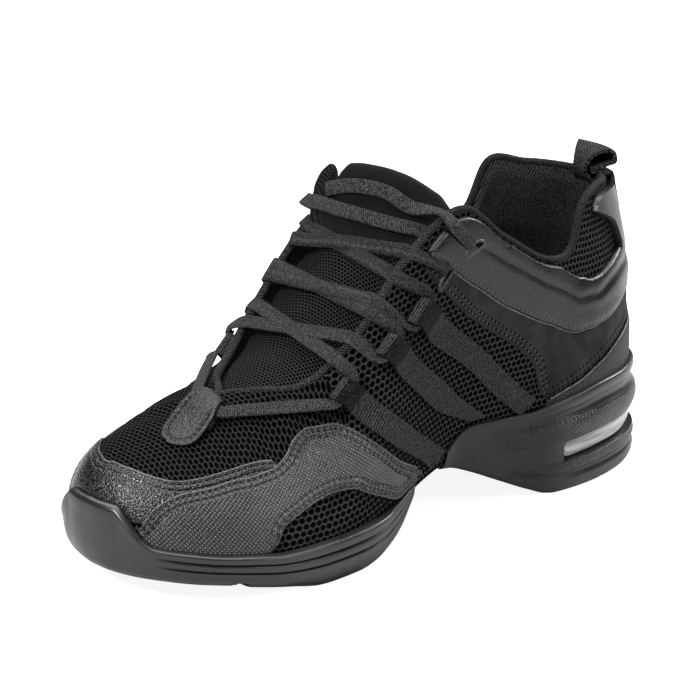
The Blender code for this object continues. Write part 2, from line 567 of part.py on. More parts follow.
def build_soles():
    """Forefoot sole with its tread groove, heel sole with its window slot, and the clear window."""
    fore = np.concatenate([FORE_REAR_RINGS, np.arange(3 * COLUMNS_PER_ROW, 0, -1) / COLUMNS_PER_ROW])
    fore = np.concatenate([fore, [0], -fore[::-1]])
    sole = sole_solid("forefoot_sole", fore, lambda ring: fore_profile(ring % RING))
    cutter_mesh = bpy.data.meshes.new("tread_cutter")
    cutter_shape = bmesh.new()
    bmesh.ops.create_cube(cutter_shape, size=1)
    size = (TREAD_GROOVE_WIDTH * MM, .12, 2 * TREAD_GROOVE_DEPTH * MM)
    bmesh.ops.scale(cutter_shape, vec=size, verts=cutter_shape.verts)
    cutter_shape.to_mesh(cutter_mesh)
    cutter_shape.free()
    cutter = bpy.data.objects.new("tread_cutter", cutter_mesh)
    cutter.location = ((TREAD_GROOVE_X - CENTRE_X) * MM, 0, TREAD_GROOVE_Z * MM)
    cutter.hide_render = True
    cutter.display_type = "WIRE"
    bpy.context.scene.collection.objects.link(cutter)
    cut = sole.modifiers.new("tread_groove", "BOOLEAN")
    cut.operation = "DIFFERENCE"
    cut.solver = "EXACT"
    cut.object = cutter
    ends = [WINDOW_ENDS[0], WINDOW_ENDS[0] + .1]
    back = list(np.arange(35, 48) / COLUMNS_PER_ROW)
    half = HEEL_FRONT_RINGS + ends + back
    rings = half + [float(HEEL)] + [RING - ring for ring in reversed(half)]
    sole_solid("heel_sole", rings, heel_profile)
    first = WINDOW_ENDS[0] + WINDOW_CLEAR
    around = [first, *back, HEEL, *(RING - ring for ring in reversed(back)), RING - first]
    faces = []
    for inset in (WINDOW_DEPTH - WINDOW_BEHIND, WINDOW_SET_IN):
        lines = []
        for ring in around:
            column = heel_profile(ring)
            low, high = column[WINDOW_ROWS[0]], column[WINDOW_ROWS[1]]
            shift = plan_normal(ring) * (WINDOW_DEPTH - inset)
            lines.append([low + (high - low) * part + shift for part in WINDOW_FILL])
        faces.append(np.array(lines))
    solid_between("heel_window", faces[0], faces[1], (.75, .76, .78), .15)


def build_insole():
    """Insole plate on the two soles, raised over the arch strip."""
    stations = np.array(INSOLE_STATIONS)
    across = np.linspace(0, 1, INSOLE_STEPS + 1)
    lateral = wall_point(stations, 0) - plan_normal(stations) * INSOLE_INSET
    medial = wall_point(RING - stations, 0) - plan_normal(RING - stations) * INSOLE_INSET
    lift = curve(INSOLE_LIFT, stations)
    plate = lateral[:, None] + (medial - lateral)[:, None] * across[None, :, None]
    plate[..., 2] += lift[:, None] - FLOOR_SAG * 4 * (across * (1 - across))[None, :]
    solid_between("insole", plate, plate + UP * INSOLE_THICK, (.04, .04, .045), .9)


def build_tongue():
    """Padded tongue from under the vamp to over the collar."""
    sides = np.linspace(1, -1, TONGUE_COLUMNS)
    grid = np.meshgrid(TONGUE_RINGS, sides, indexing="ij")
    thick = curve(np.column_stack([TONGUE_ROWS[0], TONGUE_ROWS[4]]), grid[0])
    thick = thick * (1 - TONGUE_TAPER * np.abs(grid[1]) ** 3)
    solid_between("tongue", tongue(grid[0], grid[1], -thick), tongue(grid[0], grid[1]), (.02, .02, .02), .9)


def folded_band(name, path, place, lines, colour, rough):
    """Band along a path of (way, height) rows, spread across by a placing function."""
    path = np.array(path, float)
    step = np.gradient(path, axis=0)
    normal = np.column_stack([-step[:, 1], step[:, 0]])
    normal = normal / np.linalg.norm(normal, axis=1, keepdims=True)
    faces = []
    for shift in (-STRAP_THICK / 2, STRAP_THICK / 2):
        rows = path + normal * shift
        faces.append(np.array([[place(way, height, line) for line in lines] for way, height in rows]))
    solid_between(name, faces[0], faces[1], colour, rough)


def build_loops():
    """Six webbing straps folded into lace loops, the vamp tab and the heel pull loop."""
    for strap, length in enumerate(STRAP_LENGTHS):
        path = FOLD + [(share * length, FOLD[-1][1]) for share in STRAP_TAIL]
        for side, word in ((1, "lateral"), (-1, "medial")):
            lines = np.linspace(0, 1, STRAP_STEPS + 1)

            def place(way, height, line, strap=strap, side=side, length=length):
                return strap_point(strap, side, way / length, line, height)

            folded_band(f"web_loop_{word}_{strap + 1}", path, place, lines, (.02, .02, .02), .85)

    def place_tab(way, height, line):
        return tab_point(way, float(curve(TAB, way, 2)) + line * float(curve(TAB, way)), height)

    path = FOLD + [(way, FOLD[-1][1]) for way in TAB_TAIL]
    folded_band("vamp_loop", path, place_tab, np.linspace(-1, 1, TAB_ACROSS + 1), (.03, .03, .03), .5)
    rows = np.array(PULL)
    rings = HEEL + np.linspace(-1, 1, PULL_STEPS + 1) * PULL_RINGS
    grid = wall(rings[None, :], rows[:, :1], rows[:, 1:2]) + UP * rows[:, 2, None, None]
    normal = np.cross(np.gradient(grid, axis=0), np.gradient(grid, axis=1))
    normal = normal / np.linalg.norm(normal, axis=-1, keepdims=True) * PULL_THICK / 2
    solid_between("pull_loop", grid - normal, grid + normal, (.02, .02, .02), .85)


def knot(place, *where, half=LACE_HALF):
    """Knot of a lace: its point, the outward direction there and half its width."""
    point = place(*where)
    outward = place(*where[:-1], where[-1] + 1) - point
    return np.array([*point, *outward, half])


def crest(ring, over, lift):
    """Point over the rim of the throat, in line with the wall."""
    ring = ring if over > 0 else RING - ring
    rise = wall(ring, 1.0, -WALL / 2) - wall(ring, .97, -WALL / 2)
    return wall(ring, 1.0, -WALL / 2) + rise / np.linalg.norm(rise) * lift


def lace_half(side):
    """Knots of the long lace from the vamp tab up one side and over to the top loops."""
    def on_wall(ring, share, height, over):
        return knot(wall, ring if over > 0 else RING - ring, share, height, half=WALL_HALF)

    def eye(strap, over):
        way = EYE_DOWN / STRAP_LENGTHS[strap]
        where = (strap, over, way)
        return [knot(strap_point, *where, across, EYE_HEIGHT, half=EYE_HALF) for across in EYE_ACROSS]

    def leave(number, over, lift):
        """Up the wall from a loop and over the rim."""
        ring = CROSSINGS[number][0]
        rim = knot(crest, ring + 2 * LACE_TO_RIM, over, lift + RIM_LIFT)
        return [on_wall(ring + LACE_TO_RIM, .92, LACE_OVER_WALL, over), rim]

    def across(number, over, lift):
        """Over the tongue from one side to the other."""
        low, high = CROSSINGS[number]
        return [knot(tongue, low + (high - low) * part, over * (1 - 2 * part), lift) for part in LACE_PARTS]

    def arrive(number, over, lift):
        """Over the rim and down the wall to a loop."""
        ring = CROSSINGS[number][1]
        rim = knot(crest, ring - LACE_TO_EYE, over, lift + RIM_LIFT)
        return [rim, on_wall(ring - LACE_TO_EYE, .90, LACE_OVER_WALL, over)]

    lifts = (LACE_LOW, LACE_HIGH) if side > 0 else (LACE_HIGH, LACE_LOW)
    knots = [knot(tab_point, EYE_DOWN + way, side * aside, EYE_HEIGHT + rise, half=EYE_HALF)
             for way, aside, rise in LACE_IN_TAB]
    knots += [on_wall(*row, side) for row in LACE_TO_FIRST]
    knots += eye(0, side)
    for number, over, lift in ((0, side, lifts[0]), (1, -side, lifts[1])):
        knots += leave(number, over, lift) + across(number, over, lift) + arrive(number, -over, lift)
        knots += eye(number + 1, -over)
    if side > 0:
        return knots + leave(2, 1, lifts[0]) + across(2, 1, lifts[0]) + [knot(tongue, *MEDIAL_END)]
    knots += [leave(2, -1, lifts[0])[0], knot(crest, *MEDIAL_RIM)] + across(2, -1, lifts[0])
    return knots + [knot(crest, *LATERAL_RIM)] + [on_wall(*row, 1) for row in LATERAL_END]


def smooth_path(knots, steps):
    """Rows of a smooth path through knots."""
    knots = np.array(knots)
    stride = np.linalg.norm(np.diff(knots[:, :3], axis=0), axis=1) ** .5
    way = np.concatenate([[0], np.cumsum(stride)])
    spans = [np.linspace(start, end, steps, endpoint=False) for start, end in zip(way[:-1], way[1:])]
    fine = np.concatenate(spans + [way[-1:]])
    slope = np.gradient(knots, way, axis=0)
    i = np.clip(np.searchsorted(way, fine, side="right") - 1, 0, len(way) - 2)
    h = (way[i + 1] - way[i])[:, None]
    u = ((fine - way[i]) / h[:, 0])[:, None]
    first = (2 * u ** 3 - 3 * u ** 2 + 1) * knots[i] + (u ** 3 - 2 * u ** 2 + u) * slope[i] * h
    return first + (3 * u ** 2 - 2 * u ** 3) * knots[i + 1] + (u ** 3 - u ** 2) * slope[i + 1] * h


def ribbon(name, knots):
    """Flat lace through knots, its flat side to the foot."""
    rows = smooth_path(knots, LACE_STEPS)
    path = rows[:, :3]
    along = np.gradient(path, axis=0)
    along = along / np.linalg.norm(along, axis=1, keepdims=True)
    outward = rows[:, 3:6] - along * (rows[:, 3:6] * along).sum(1, keepdims=True)
    outward = outward / np.linalg.norm(outward, axis=1, keepdims=True)
    wide = np.cross(along, outward) * rows[:, 6:]
    thick = outward * LACE_THICK / 2
    inner = np.stack([path - wide - thick, path + wide - thick], 1)
    outer = np.stack([path - wide + thick, path + wide + thick], 1)
    solid_between(name, inner, outer, (.025, .025, .025), .85)


def build_laces():
    """The crossed lace and its two strands over the top of the tongue."""
    lateral = lace_half(1)
    medial = lace_half(-1)
    ribbon("lace_crossed", lateral[::-1] + medial)
    ribbon("lace_top_1", [knot(tongue, *row) for row in TOP_STRAND_1])
    over_edge = [knot(tongue, *row) for row in TOP_STRAND_2] + [knot(crest, *TOP_RIM)]
    ribbon("lace_top_2", over_edge + [knot(wall, *row) for row in TOP_SLOT])


def round_heel(half):
    """Ring positions of the lateral half continued round the heel."""
    return np.concatenate([half, [HEEL], RING - np.array(half)[::-1]])


def build_overlays():
    """Panels that stand on the upper."""
    overlay("toe_cap", TOE_CAP, TOE_CAP_RINGS, 3, False, LEATHER, .4)
    overlay("mudguard_lateral", MUDGUARD, MUDGUARD_RINGS, 3, False, LEATHER, .5)
    overlay("mudguard_medial", MUDGUARD, MUDGUARD_RINGS, 3, True, LEATHER, .5)
    overlay("quarter_lateral", QUARTER, QUARTER_RINGS, 3, False, NUBUCK, .95)
    overlay("quarter_medial", QUARTER, QUARTER_RINGS, 3, True, NUBUCK, .95)
    overlay("collar_band", both_ways(COLLAR), round_heel(COLLAR_RINGS), 3, False, LEATHER, .35, BAND_TOP)
    overlay("heel_counter", both_ways(COUNTER), round_heel(COUNTER_RINGS), 2, False, GREY, .6)


for leftover in list(bpy.data.objects):
    bpy.data.objects.remove(leftover, do_unlink=True)
build_upper()
build_soles()
build_insole()
build_tongue()
build_overlays()
build_loops()
build_laces()
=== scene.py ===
# %% [markdown]
# # Dressing a left dance sneaker with a split sole
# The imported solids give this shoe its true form: a hollow upper on a last, a forefoot sole, a heel sole, a
# tongue, overlays, webbing loops and a lace. In this lesson every solid gets a finer skin of its own:
# knitted mesh, pebbled and embossed leather, nubuck, ribbed webbing, satin rubber and a flat woven lace.
# The skins could be carved from the solids themselves, but the solids have few faces. So each skin is laid
# afresh by the rules that the solids follow, and it lands where the solid is.

# %% Load the frame
import math

import bmesh
import bpy
import numpy as np
from mathutils import Matrix, Vector
from mathutils.bvhtree import BVHTree


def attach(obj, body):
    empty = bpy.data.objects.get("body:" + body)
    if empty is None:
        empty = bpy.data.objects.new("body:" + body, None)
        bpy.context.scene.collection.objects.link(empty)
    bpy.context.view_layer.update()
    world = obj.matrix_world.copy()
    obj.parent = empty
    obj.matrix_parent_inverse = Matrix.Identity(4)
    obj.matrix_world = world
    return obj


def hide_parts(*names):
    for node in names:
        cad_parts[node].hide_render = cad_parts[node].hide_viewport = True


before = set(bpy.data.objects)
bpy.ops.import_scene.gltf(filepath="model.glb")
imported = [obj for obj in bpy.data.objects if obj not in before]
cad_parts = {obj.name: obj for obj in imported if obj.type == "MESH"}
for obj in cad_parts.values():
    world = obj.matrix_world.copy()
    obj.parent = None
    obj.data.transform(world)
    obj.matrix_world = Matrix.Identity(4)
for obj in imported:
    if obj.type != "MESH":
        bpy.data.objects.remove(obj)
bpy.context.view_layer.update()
scene = bpy.context.scene

# %% [markdown]
# ## Units
# A shoemaker works in millimetres from the heel, so every table here does too. Blender works in metres, and
# the solids are centred on the floor under the shoe. One function takes points from the first to the
# second.

# %% From millimetres at the heel to metres at the middle
MM = 0.001
CENTRE_X = 123.394
CENTRE_Y = -0.284
HEEL_MARK = np.array([CENTRE_X, CENTRE_Y, 0])
UP = np.array([0.0, 0.0, 1.0])
FLAT = np.array([1.0, 1.0, 0.0])


def to_metres(points):
    """Points in mm from the heel as points in metres from the middle of the shoe."""
    return (np.asarray(points, float) - HEEL_MARK) * MM


# %% [markdown]
# ## Camera
# The shoe is seen from its outer side, a little from above, toe to the left. A long lens keeps the toe from
# looking large, as in a catalogue. The camera could be aimed with a constraint, but a matrix built from its
# own three directions also takes the small roll of the picture.

# %% Camera
AIM = np.array([132, 0, 50])
AZIMUTH = math.radians(136.5)
ELEVATION = math.radians(19.3)
ROLL = math.radians(.72)
DISTANCE = 1400
FOCAL_PIXELS = 3781.4
PICTURE_PIXELS = 700
SHIFT_PIXELS = (-6.6, 39.8)
SENSOR = 36
level = math.cos(ELEVATION)
backward = Vector((math.sin(AZIMUTH) * level, -math.cos(AZIMUTH) * level, math.sin(ELEVATION)))
rightward = Vector((math.cos(AZIMUTH), math.sin(AZIMUTH), 0))
upward = backward.cross(rightward)
picture_right = rightward * math.cos(ROLL) + upward * math.sin(ROLL)
picture_up = upward * math.cos(ROLL) - rightward * math.sin(ROLL)
camera = bpy.data.objects.new("camera", bpy.data.cameras.new("camera"))
scene.collection.objects.link(camera)
axes = Matrix((picture_right, picture_up, backward)).transposed()
camera.matrix_world = Matrix.Translation(Vector(to_metres(AIM)) + backward * DISTANCE * MM) @ axes.to_4x4()
camera.data.sensor_width = SENSOR
camera.data.lens = FOCAL_PIXELS / PICTURE_PIXELS * SENSOR
camera.data.shift_x, camera.data.shift_y = (pixels / PICTURE_PIXELS for pixels in SHIFT_PIXELS)
scene.camera = camera
print("camera at", tuple(round(c, 3) for c in camera.location), "lens", round(camera.data.lens, 1))

# %% [markdown]
# ## Shader helpers
# A material is a small tree of nodes. Adding and wiring each node by hand takes many lines, so one helper
# adds a node, sets its values and joins its sockets, and the materials below read like sums.

# %% A helper that adds and wires nodes


class Nodes:
    """Adds nodes to one tree and wires them."""

    def __init__(self, tree):
        self.tree = tree

    def wire(self, socket, value):
        """Joins a socket to another node's output, or gives it a fixed value."""
        if isinstance(value, bpy.types.NodeSocket):
            self.tree.links.new(value, socket)
        else:
            socket.default_value = value

    def add(self, kind, inputs=None, **settings):
        """New node with its settings and inputs."""
        made = self.tree.nodes.new(kind)
        for name, value in settings.items():
            setattr(made, name, value)
        for name, value in (inputs or {}).items():
            self.wire(made.inputs[name], value)
        return made

    def math(self, operation, *values):
        """Result of one sum."""
        made = self.add("ShaderNodeMath", operation=operation)
        for socket, value in zip(made.inputs, values):
            self.wire(socket, value)
        return made.outputs[0]

    def ease(self, value, low, high, start=0.0, end=1.0):
        """Smooth step of a value from low to high."""
        inputs = {"Value": value, "From Min": low, "From Max": high, "To Min": start, "To Max": end}
        return self.add("ShaderNodeMapRange", inputs, interpolation_type="SMOOTHSTEP").outputs[0]

    def mix(self, share, first, second):
        """Mix of two colours."""
        made = self.add("ShaderNodeMix", data_type="RGBA")
        for socket, value in ((made.inputs[0], share), (made.inputs[6], first), (made.inputs[7], second)):
            self.wire(socket, value)
        return made.outputs[2]

    def split(self, vector):
        """The parts of a vector."""
        return self.add("ShaderNodeSeparateXYZ", {"Vector": vector}).outputs

    def noise(self, vector, scale, detail=2.0):
        """Cloudy noise from 0 to 1."""
        inputs = {"Vector": vector, "Scale": scale, "Detail": detail}
        return self.add("ShaderNodeTexNoise", inputs).outputs["Fac"]

    def sway(self, vector, place, scale, amount):
        """Vector pushed about by cloudy noise, by an amount along each axis."""
        cloud = self.add("ShaderNodeTexNoise", {"Vector": place, "Scale": scale}).outputs["Color"]
        inputs = {0: cloud, 1: amount, 2: vector}
        return self.add("ShaderNodeVectorMath", inputs, operation="MULTIPLY_ADD").outputs[0]

    def bump(self, height, depth):
        """Normal of a surface that a height of 0 to 1 raises by a depth in mm."""
        inputs = {"Height": height, "Distance": depth * MM, "Strength": 1.0}
        return self.add("ShaderNodeBump", inputs).outputs[0]

    def group(self, tree, **inputs):
        """A shared effect with its own values; the words of a socket are joined by lines below."""
        made = self.add("ShaderNodeGroup", node_tree=tree)
        for name, value in inputs.items():
            self.wire(made.inputs[name.replace("_", " ")], value)
        return made.outputs


def effect(name, inputs, outputs):
    """Empty shader group with named sockets; gives its nodes, its inputs and its output node."""
    tree = bpy.data.node_groups.new(name, "ShaderNodeTree")
    for word, kind in inputs:
        tree.interface.new_socket(word, in_out="INPUT", socket_type="NodeSocket" + kind)
    for word in outputs:
        tree.interface.new_socket(word, in_out="OUTPUT", socket_type="NodeSocketFloat")
    nodes = Nodes(tree)
    return nodes, nodes.add("NodeGroupInput").outputs, nodes.add("NodeGroupOutput").inputs


def grey(value):
    """Neutral colour."""
    return (value, value, value, 1)


print("shader helpers are ready")

# %% [markdown]
# ## Floor and light
# A plain white floor runs far past the picture. One wide soft box hangs above, small ones stand to the left
# and right of the toe and to the right behind the heel: on black leather the shape is read from their
# reflections, so they are soft. A dim sky fills the shadows, and the paper glows, as on a light
# table, but only as the camera sees it: its glow would wash out the black leather.

# %% Floor, sky and soft boxes
FLOOR_HALF = 5.0
SKY = .10
PAPER_GLOW = .9
# name, metres to the right, towards the camera and up, size, watts
SOFT_BOXES = [
    ("above", 0, -.6, 2.4, 2.6, 105),
    ("left", -.75, .95, 1.15, .5, 32),
    ("front", 1.25, .6, .8, .45, 7),
    ("right", 1.1, -1.0, .9, .6, 16),
]
floor_shape = bmesh.new()
bmesh.ops.create_grid(floor_shape, x_segments=1, y_segments=1, size=FLOOR_HALF)
floor_mesh = bpy.data.meshes.new("floor")
floor_shape.to_mesh(floor_mesh)
floor_shape.free()
floor = bpy.data.objects.new("floor", floor_mesh)
scene.collection.objects.link(floor)
paper = bpy.data.materials.new("floor_paper")
paper.use_nodes = True
paper_shader = paper.node_tree.nodes["Principled BSDF"]
paper_shader.inputs["Base Color"].default_value = grey(.55)
paper_shader.inputs["Roughness"].default_value = .9
paper_shader.inputs["Emission Color"].default_value = grey(1)
paper_nodes = Nodes(paper.node_tree)
seen = paper_nodes.add("ShaderNodeLightPath").outputs["Is Camera Ray"]
paper_nodes.wire(paper_shader.inputs["Emission Strength"], paper_nodes.math("MULTIPLY", seen, PAPER_GLOW))
floor_mesh.materials.append(paper)
sky = bpy.data.worlds.new("sky")
sky.use_nodes = True
sky.node_tree.nodes["Background"].inputs["Color"].default_value = grey(1)
sky.node_tree.nodes["Background"].inputs["Strength"].default_value = SKY
scene.world = sky
toward = Vector((backward.x, backward.y, 0)).normalized()
for word, right, near, high, size, watts in SOFT_BOXES:
    light = bpy.data.lights.new("soft_box_" + word, "AREA")
    light.size = size
    light.energy = watts
    lamp = bpy.data.objects.new("soft_box_" + word, light)
    lamp.location = rightward * right + toward * near + Vector((0, 0, high))
    aim = Vector((0, 0, .05)) - lamp.location
    lamp.rotation_euler = aim.to_track_quat("-Z", "Y").to_euler()
    scene.collection.objects.link(lamp)
scene.view_settings.view_transform = "Standard"
print("soft boxes:", len(SOFT_BOXES))

# %% [markdown]
# ## The last
# A shoe is built round a last, a form like a foot. Here the last is one table: each row is a section, going
# round the foot from the toe tip over the outer side to the heel and back along the inner side. A place on
# the upper is a ring position along that way and a share of the height, 0 at the sole and 1 at the top
# line.

# %% Sections of the last
WALL = 2.2
SOLE_GAP = 0.5
FEATHER = slice(0, 3)
TOP = slice(3, 6)
RISE = slice(6, 7)
SWELL_LOW = slice(7, 8)
REACH = slice(8, 9)
SWELL_HIGH = slice(9, 10)
DROP = slice(10, 11)
# feather x, y, z | top x, y, z | rise, swell_low, reach, swell_high, drop
LAST = np.array([
    (253, -7, 18, 241, -10, 47, .62, 3, .45, 0, 0),
    (249.5, 9, 17, 239, -10, 47.8, .60, 3, .42, 0, 0),
    (240, 22, 15.5, 232, -8.5, 50.5, .56, 3, .40, 0, 0),
    (225, 33, 13, 219, -5, 55.8, .52, 2.5, .40, 0, 0),
    (207, 40, 11.5, 200, -2, 63.3, .50, 2, .40, 0, 0),
    (188, 42, 11, 191, 8, 66, .50, 1.5, .45, 0, .06),
    (168, 41, 12.5, 176, 21, 68.5, .50, 1, .50, 0, .15),
    (148, 37, 17, 155, 27.5, 86, .45, 1, .40, 1.5, .28),
    (128, 31.5, 22, 134, 27.5, 107, .40, 1, .30, 2.5, .32),
    (108, 28.5, 26, 108, 28, 121, .35, 1, .20, 2.5, .32),
    (85, 28.5, 27, 84, 28.5, 106, .35, 2, .20, 2.5, .32),
    (62, 29.5, 27, 59, 28, 92, .35, 2.5, .20, 3, .32),
    (48, 30.5, 27, 46, 26, 92.5, .35, 2.5, .20, 4, .32),
    (34, 29.5, 27, 38, 23.5, 107, .35, 2.5, .20, 4, .32),
    (15, 23.5, 27, 25, 18.5, 112, .35, 3, .20, 4.5, .32),
    (1.5, 12.5, 27, 11.5, 10, 111, .35, 3.5, .20, 5, .32),
    (-3, 0, 27, 6.5, 0, 110.5, .35, 3.5, .20, 5, .32),
    (1.5, -12.5, 27, 11.5, -10, 112, .35, 3.5, .20, 5, .32),
    (15, -23.5, 27, 27, -18.5, 115, .35, 3, .20, 4.5, .32),
    (34, -29, 27, 43, -24, 116, .35, 2.5, .20, 4, .32),
    (48, -29.5, 27, 51, -26.5, 99, .35, 2.5, .20, 4, .32),
    (62, -28.5, 27, 62, -28, 96, .35, 2.5, .20, 3, .32),
    (85, -26, 28, 84, -28.5, 108, .35, 2, .20, 2.5, .32),
    (108, -25.5, 28, 108, -28, 122, .35, 1, .20, 2.5, .32),
    (128, -28, 25, 134, -27.5, 108, .40, 1, .30, 2.5, .32),
    (148, -34, 19, 155, -27.5, 87, .45, 1, .40, 1.5, .28),
    (168, -40, 13, 176, -22, 70, .50, 1, .50, 0, .15),
    (188, -42.5, 11, 191, -12, 66.5, .60, 1.5, .54, 0, .06),
    (207, -41.5, 11.5, 200, -2, 63.3, .68, 2, .64, 1, 0),
    (225, -38, 13, 219, -5, 55.8, .72, 2.5, .67, 1.5, 0),
    (240, -31, 15.5, 232, -8.5, 50.5, .74, 3, .63, 1.5, 0),
    (250, -20.5, 17, 239, -10, 47.8, .70, 3, .57, 1, 0),
])
RING = len(LAST)
HEEL = RING // 2
THROAT_FRONT = 4.0
print("sections of the last:", RING)

# %% Places on the last
# Small steps to either side of a place, which give the directions there
PLAN_STEP = .02
RING_STEP = .03
SHARE_STEP = .02


def unit(vectors):
    """Directions of vectors, at length one."""
    return vectors / np.linalg.norm(vectors, axis=-1, keepdims=True)


def curve(table, at, column=1):
    """Smooth curve through the rows of a table that never overshoots them."""
    table = np.asarray(table, float)
    where = table[:, 0]
    value = table[:, column]
    step = np.diff(where)
    slope = np.diff(value) / step
    product = slope[:-1] * slope[1:]
    total = np.where(product > 0, slope[:-1] + slope[1:], 1.0)
    inner = np.where(product > 0, 2 * product / total, 0.0)
    tangent = np.concatenate([slope[:1], inner, slope[-1:]])
    at = np.clip(at, where[0], where[-1])
    i = np.clip(np.searchsorted(where, at, side="right") - 1, 0, len(step) - 1)
    u = (at - where[i]) / step[i]
    start = (1 + 2 * u) * (1 - u) ** 2 * value[i] + u * (1 - u) ** 2 * step[i] * tangent[i]
    end = u * u * (3 - 2 * u) * value[i + 1] + u * u * (u - 1) * step[i] * tangent[i + 1]
    return start + end


def section(ring):
    """Row of the last blended at a ring position."""
    ring = np.asarray(ring, float) % RING
    i = np.floor(ring).astype(int) % RING
    u = (ring - np.floor(ring))[..., None]
    chord = np.linalg.norm(np.roll(LAST, -1, 0)[:, :2] - LAST[:, :2], axis=1)[:, None]
    before, here, there, after = (LAST[(i + k) % RING] for k in (-1, 0, 1, 2))
    way_in, way, way_out = (chord[(i + k) % RING] for k in (-1, 0, 1))
    leave = ((here - before) / way_in * way + (there - here) / way * way_in) / (way_in + way) * way
    reach = ((there - here) / way * way_out + (after - there) / way_out * way) / (way + way_out) * way
    first = (2 * u ** 3 - 3 * u ** 2 + 1) * here + (u ** 3 - 2 * u ** 2 + u) * leave
    return first + (3 * u ** 2 - 2 * u ** 3) * there + (u ** 3 - u ** 2) * reach


def from_toe(ring):
    """Ring distance from the toe tip, the same on both sides."""
    ring = np.asarray(ring, float) % RING
    return np.minimum(ring, RING - ring)


def plan_normal(ring):
    """Level direction that points out of the foot at the feather line."""
    ahead, behind = (section(np.asarray(ring) + step)[..., :2] for step in (PLAN_STEP, -PLAN_STEP))
    step = unit(ahead - behind)
    return np.stack([step[..., 1], -step[..., 0], 0 * step[..., 0]], -1)


def wall_point(ring, share):
    """Point of the upper's outer face; the two sides share one ridge in front of the throat."""
    ring = np.asarray(ring, float)
    share = np.asarray(share, float)[..., None]
    row = section(ring)
    closed = (from_toe(ring) <= THROAT_FRONT + 1e-9)[..., None]
    low = row[..., FEATHER]
    top = np.where(closed, (row[..., TOP] + section(RING - ring)[..., TOP]) / 2, row[..., TOP])
    tall = (top - low)[..., 2:]
    out = plan_normal(ring)
    knee = low + out * row[..., SWELL_LOW] + UP * row[..., RISE] * tall
    brow = top + (low - top) * FLAT * row[..., REACH] + out * row[..., SWELL_HIGH]
    brow = brow - UP * row[..., DROP] * tall
    rest = 1 - share
    return rest ** 3 * low + 3 * share * rest ** 2 * knee + 3 * share ** 2 * rest * brow + share ** 3 * top


def wall(ring, share, out=0.0):
    """Point at a distance from the upper's outer face, outward if positive."""
    ring, share, out = np.broadcast_arrays(*(np.asarray(part, float) for part in (ring, share, out)))
    below = np.minimum(share, 1 - SHARE_STEP)
    along = wall_point(ring + RING_STEP, below) - wall_point(ring - RING_STEP, below)
    higher, lower = np.minimum(share + SHARE_STEP, 1), np.maximum(share - SHARE_STEP, 0)
    up = wall_point(ring, higher) - wall_point(ring, lower)
    return wall_point(ring, share) + unit(np.cross(along, up)) * out[..., None]


print("top of the heel in mm:", wall_point(HEEL, 1.0).round(1))

# %% [markdown]
# ## Creases
# Worn once or twice, an upper bends where the toes bend and sags a little between its seams. The creases
# could be sculpted, but in a table they stay in the shoe's own sizes: each row is a soft trough from one
# place to another, with its depth and half width. All pieces on the upper are laid on this same creased
# skin.

# %% Soft troughs in the upper
MM_PER_RING = 19
MM_PER_SHARE = 75
# from ring, share, to ring, share, depth, half width in mm; a negative depth is a ridge
CREASES = [
    (2.9, .62, 3.35, .93, .7, 4.0),
    (3.5, .55, 3.9, .80, .6, 3.5),
    (4.4, .53, 4.9, .86, .7, 4.5),
    (5.0, .66, 5.5, .88, -.5, 4.0),
    (4.9, .10, 5.6, .24, .6, 3.5),
    (10.9, .24, 11.3, .52, .9, 5.0),
    (11.6, .40, 13.0, .33, .6, 4.0),
    (13.6, .36, 15.2, .42, .5, 4.0),
    (9.4, .50, 10.2, .60, .5, 4.0),
]


def relief(ring, share):
    """Height in mm that the creases add to the upper."""
    ring, share = np.broadcast_arrays(from_toe(ring), np.asarray(share, float))
    height = np.zeros(ring.shape)
    for ring_0, share_0, ring_1, share_1, depth, wide in CREASES:
        start = np.array([ring_0 * MM_PER_RING, share_0 * MM_PER_SHARE])
        way = np.array([ring_1 * MM_PER_RING, share_1 * MM_PER_SHARE]) - start
        place = np.stack([ring * MM_PER_RING, share * MM_PER_SHARE], -1) - start
        part = np.clip((place @ way) / (way @ way), 0, 1)
        apart = np.linalg.norm(place - part[..., None] * way, axis=-1)
        height -= depth * np.exp(-(apart / wide) ** 2)
    return height


def skin(ring, share, out=0.0):
    """Point over the creased upper."""
    return wall(ring, share, out + relief(ring, share))


print("creases a side:", len(CREASES))

# %% [markdown]
# ## Laying a sheet
# Nearly every piece of a shoe is a flat cut of cloth or leather, bent over the last. So a piece starts as
# Blender's own flat grid, and each of its vertices is laid on the skin. One extrusion of the whole sheet
# gives it its back and its sides. A chart in mm, kept as the piece's UV map, carries its weave, and named
# values on the vertices tell how far a place is from a seam.

# %% Grids laid on the shoe
WELD = .02
CHART = "chart"


def running(points, axis):
    """Length in mm run along one axis of a grid of points."""
    step = np.linalg.norm(np.diff(points, axis=axis), axis=-1)
    return np.insert(np.cumsum(step, axis), 0, 0, axis)


def chart_of(points):
    """Chart of a grid: mm along the columns from the middle one, mm up the rows."""
    across = running(points, 1)
    return np.stack([across - across[:, [across.shape[1] // 2]], running(points, 0)], -1)


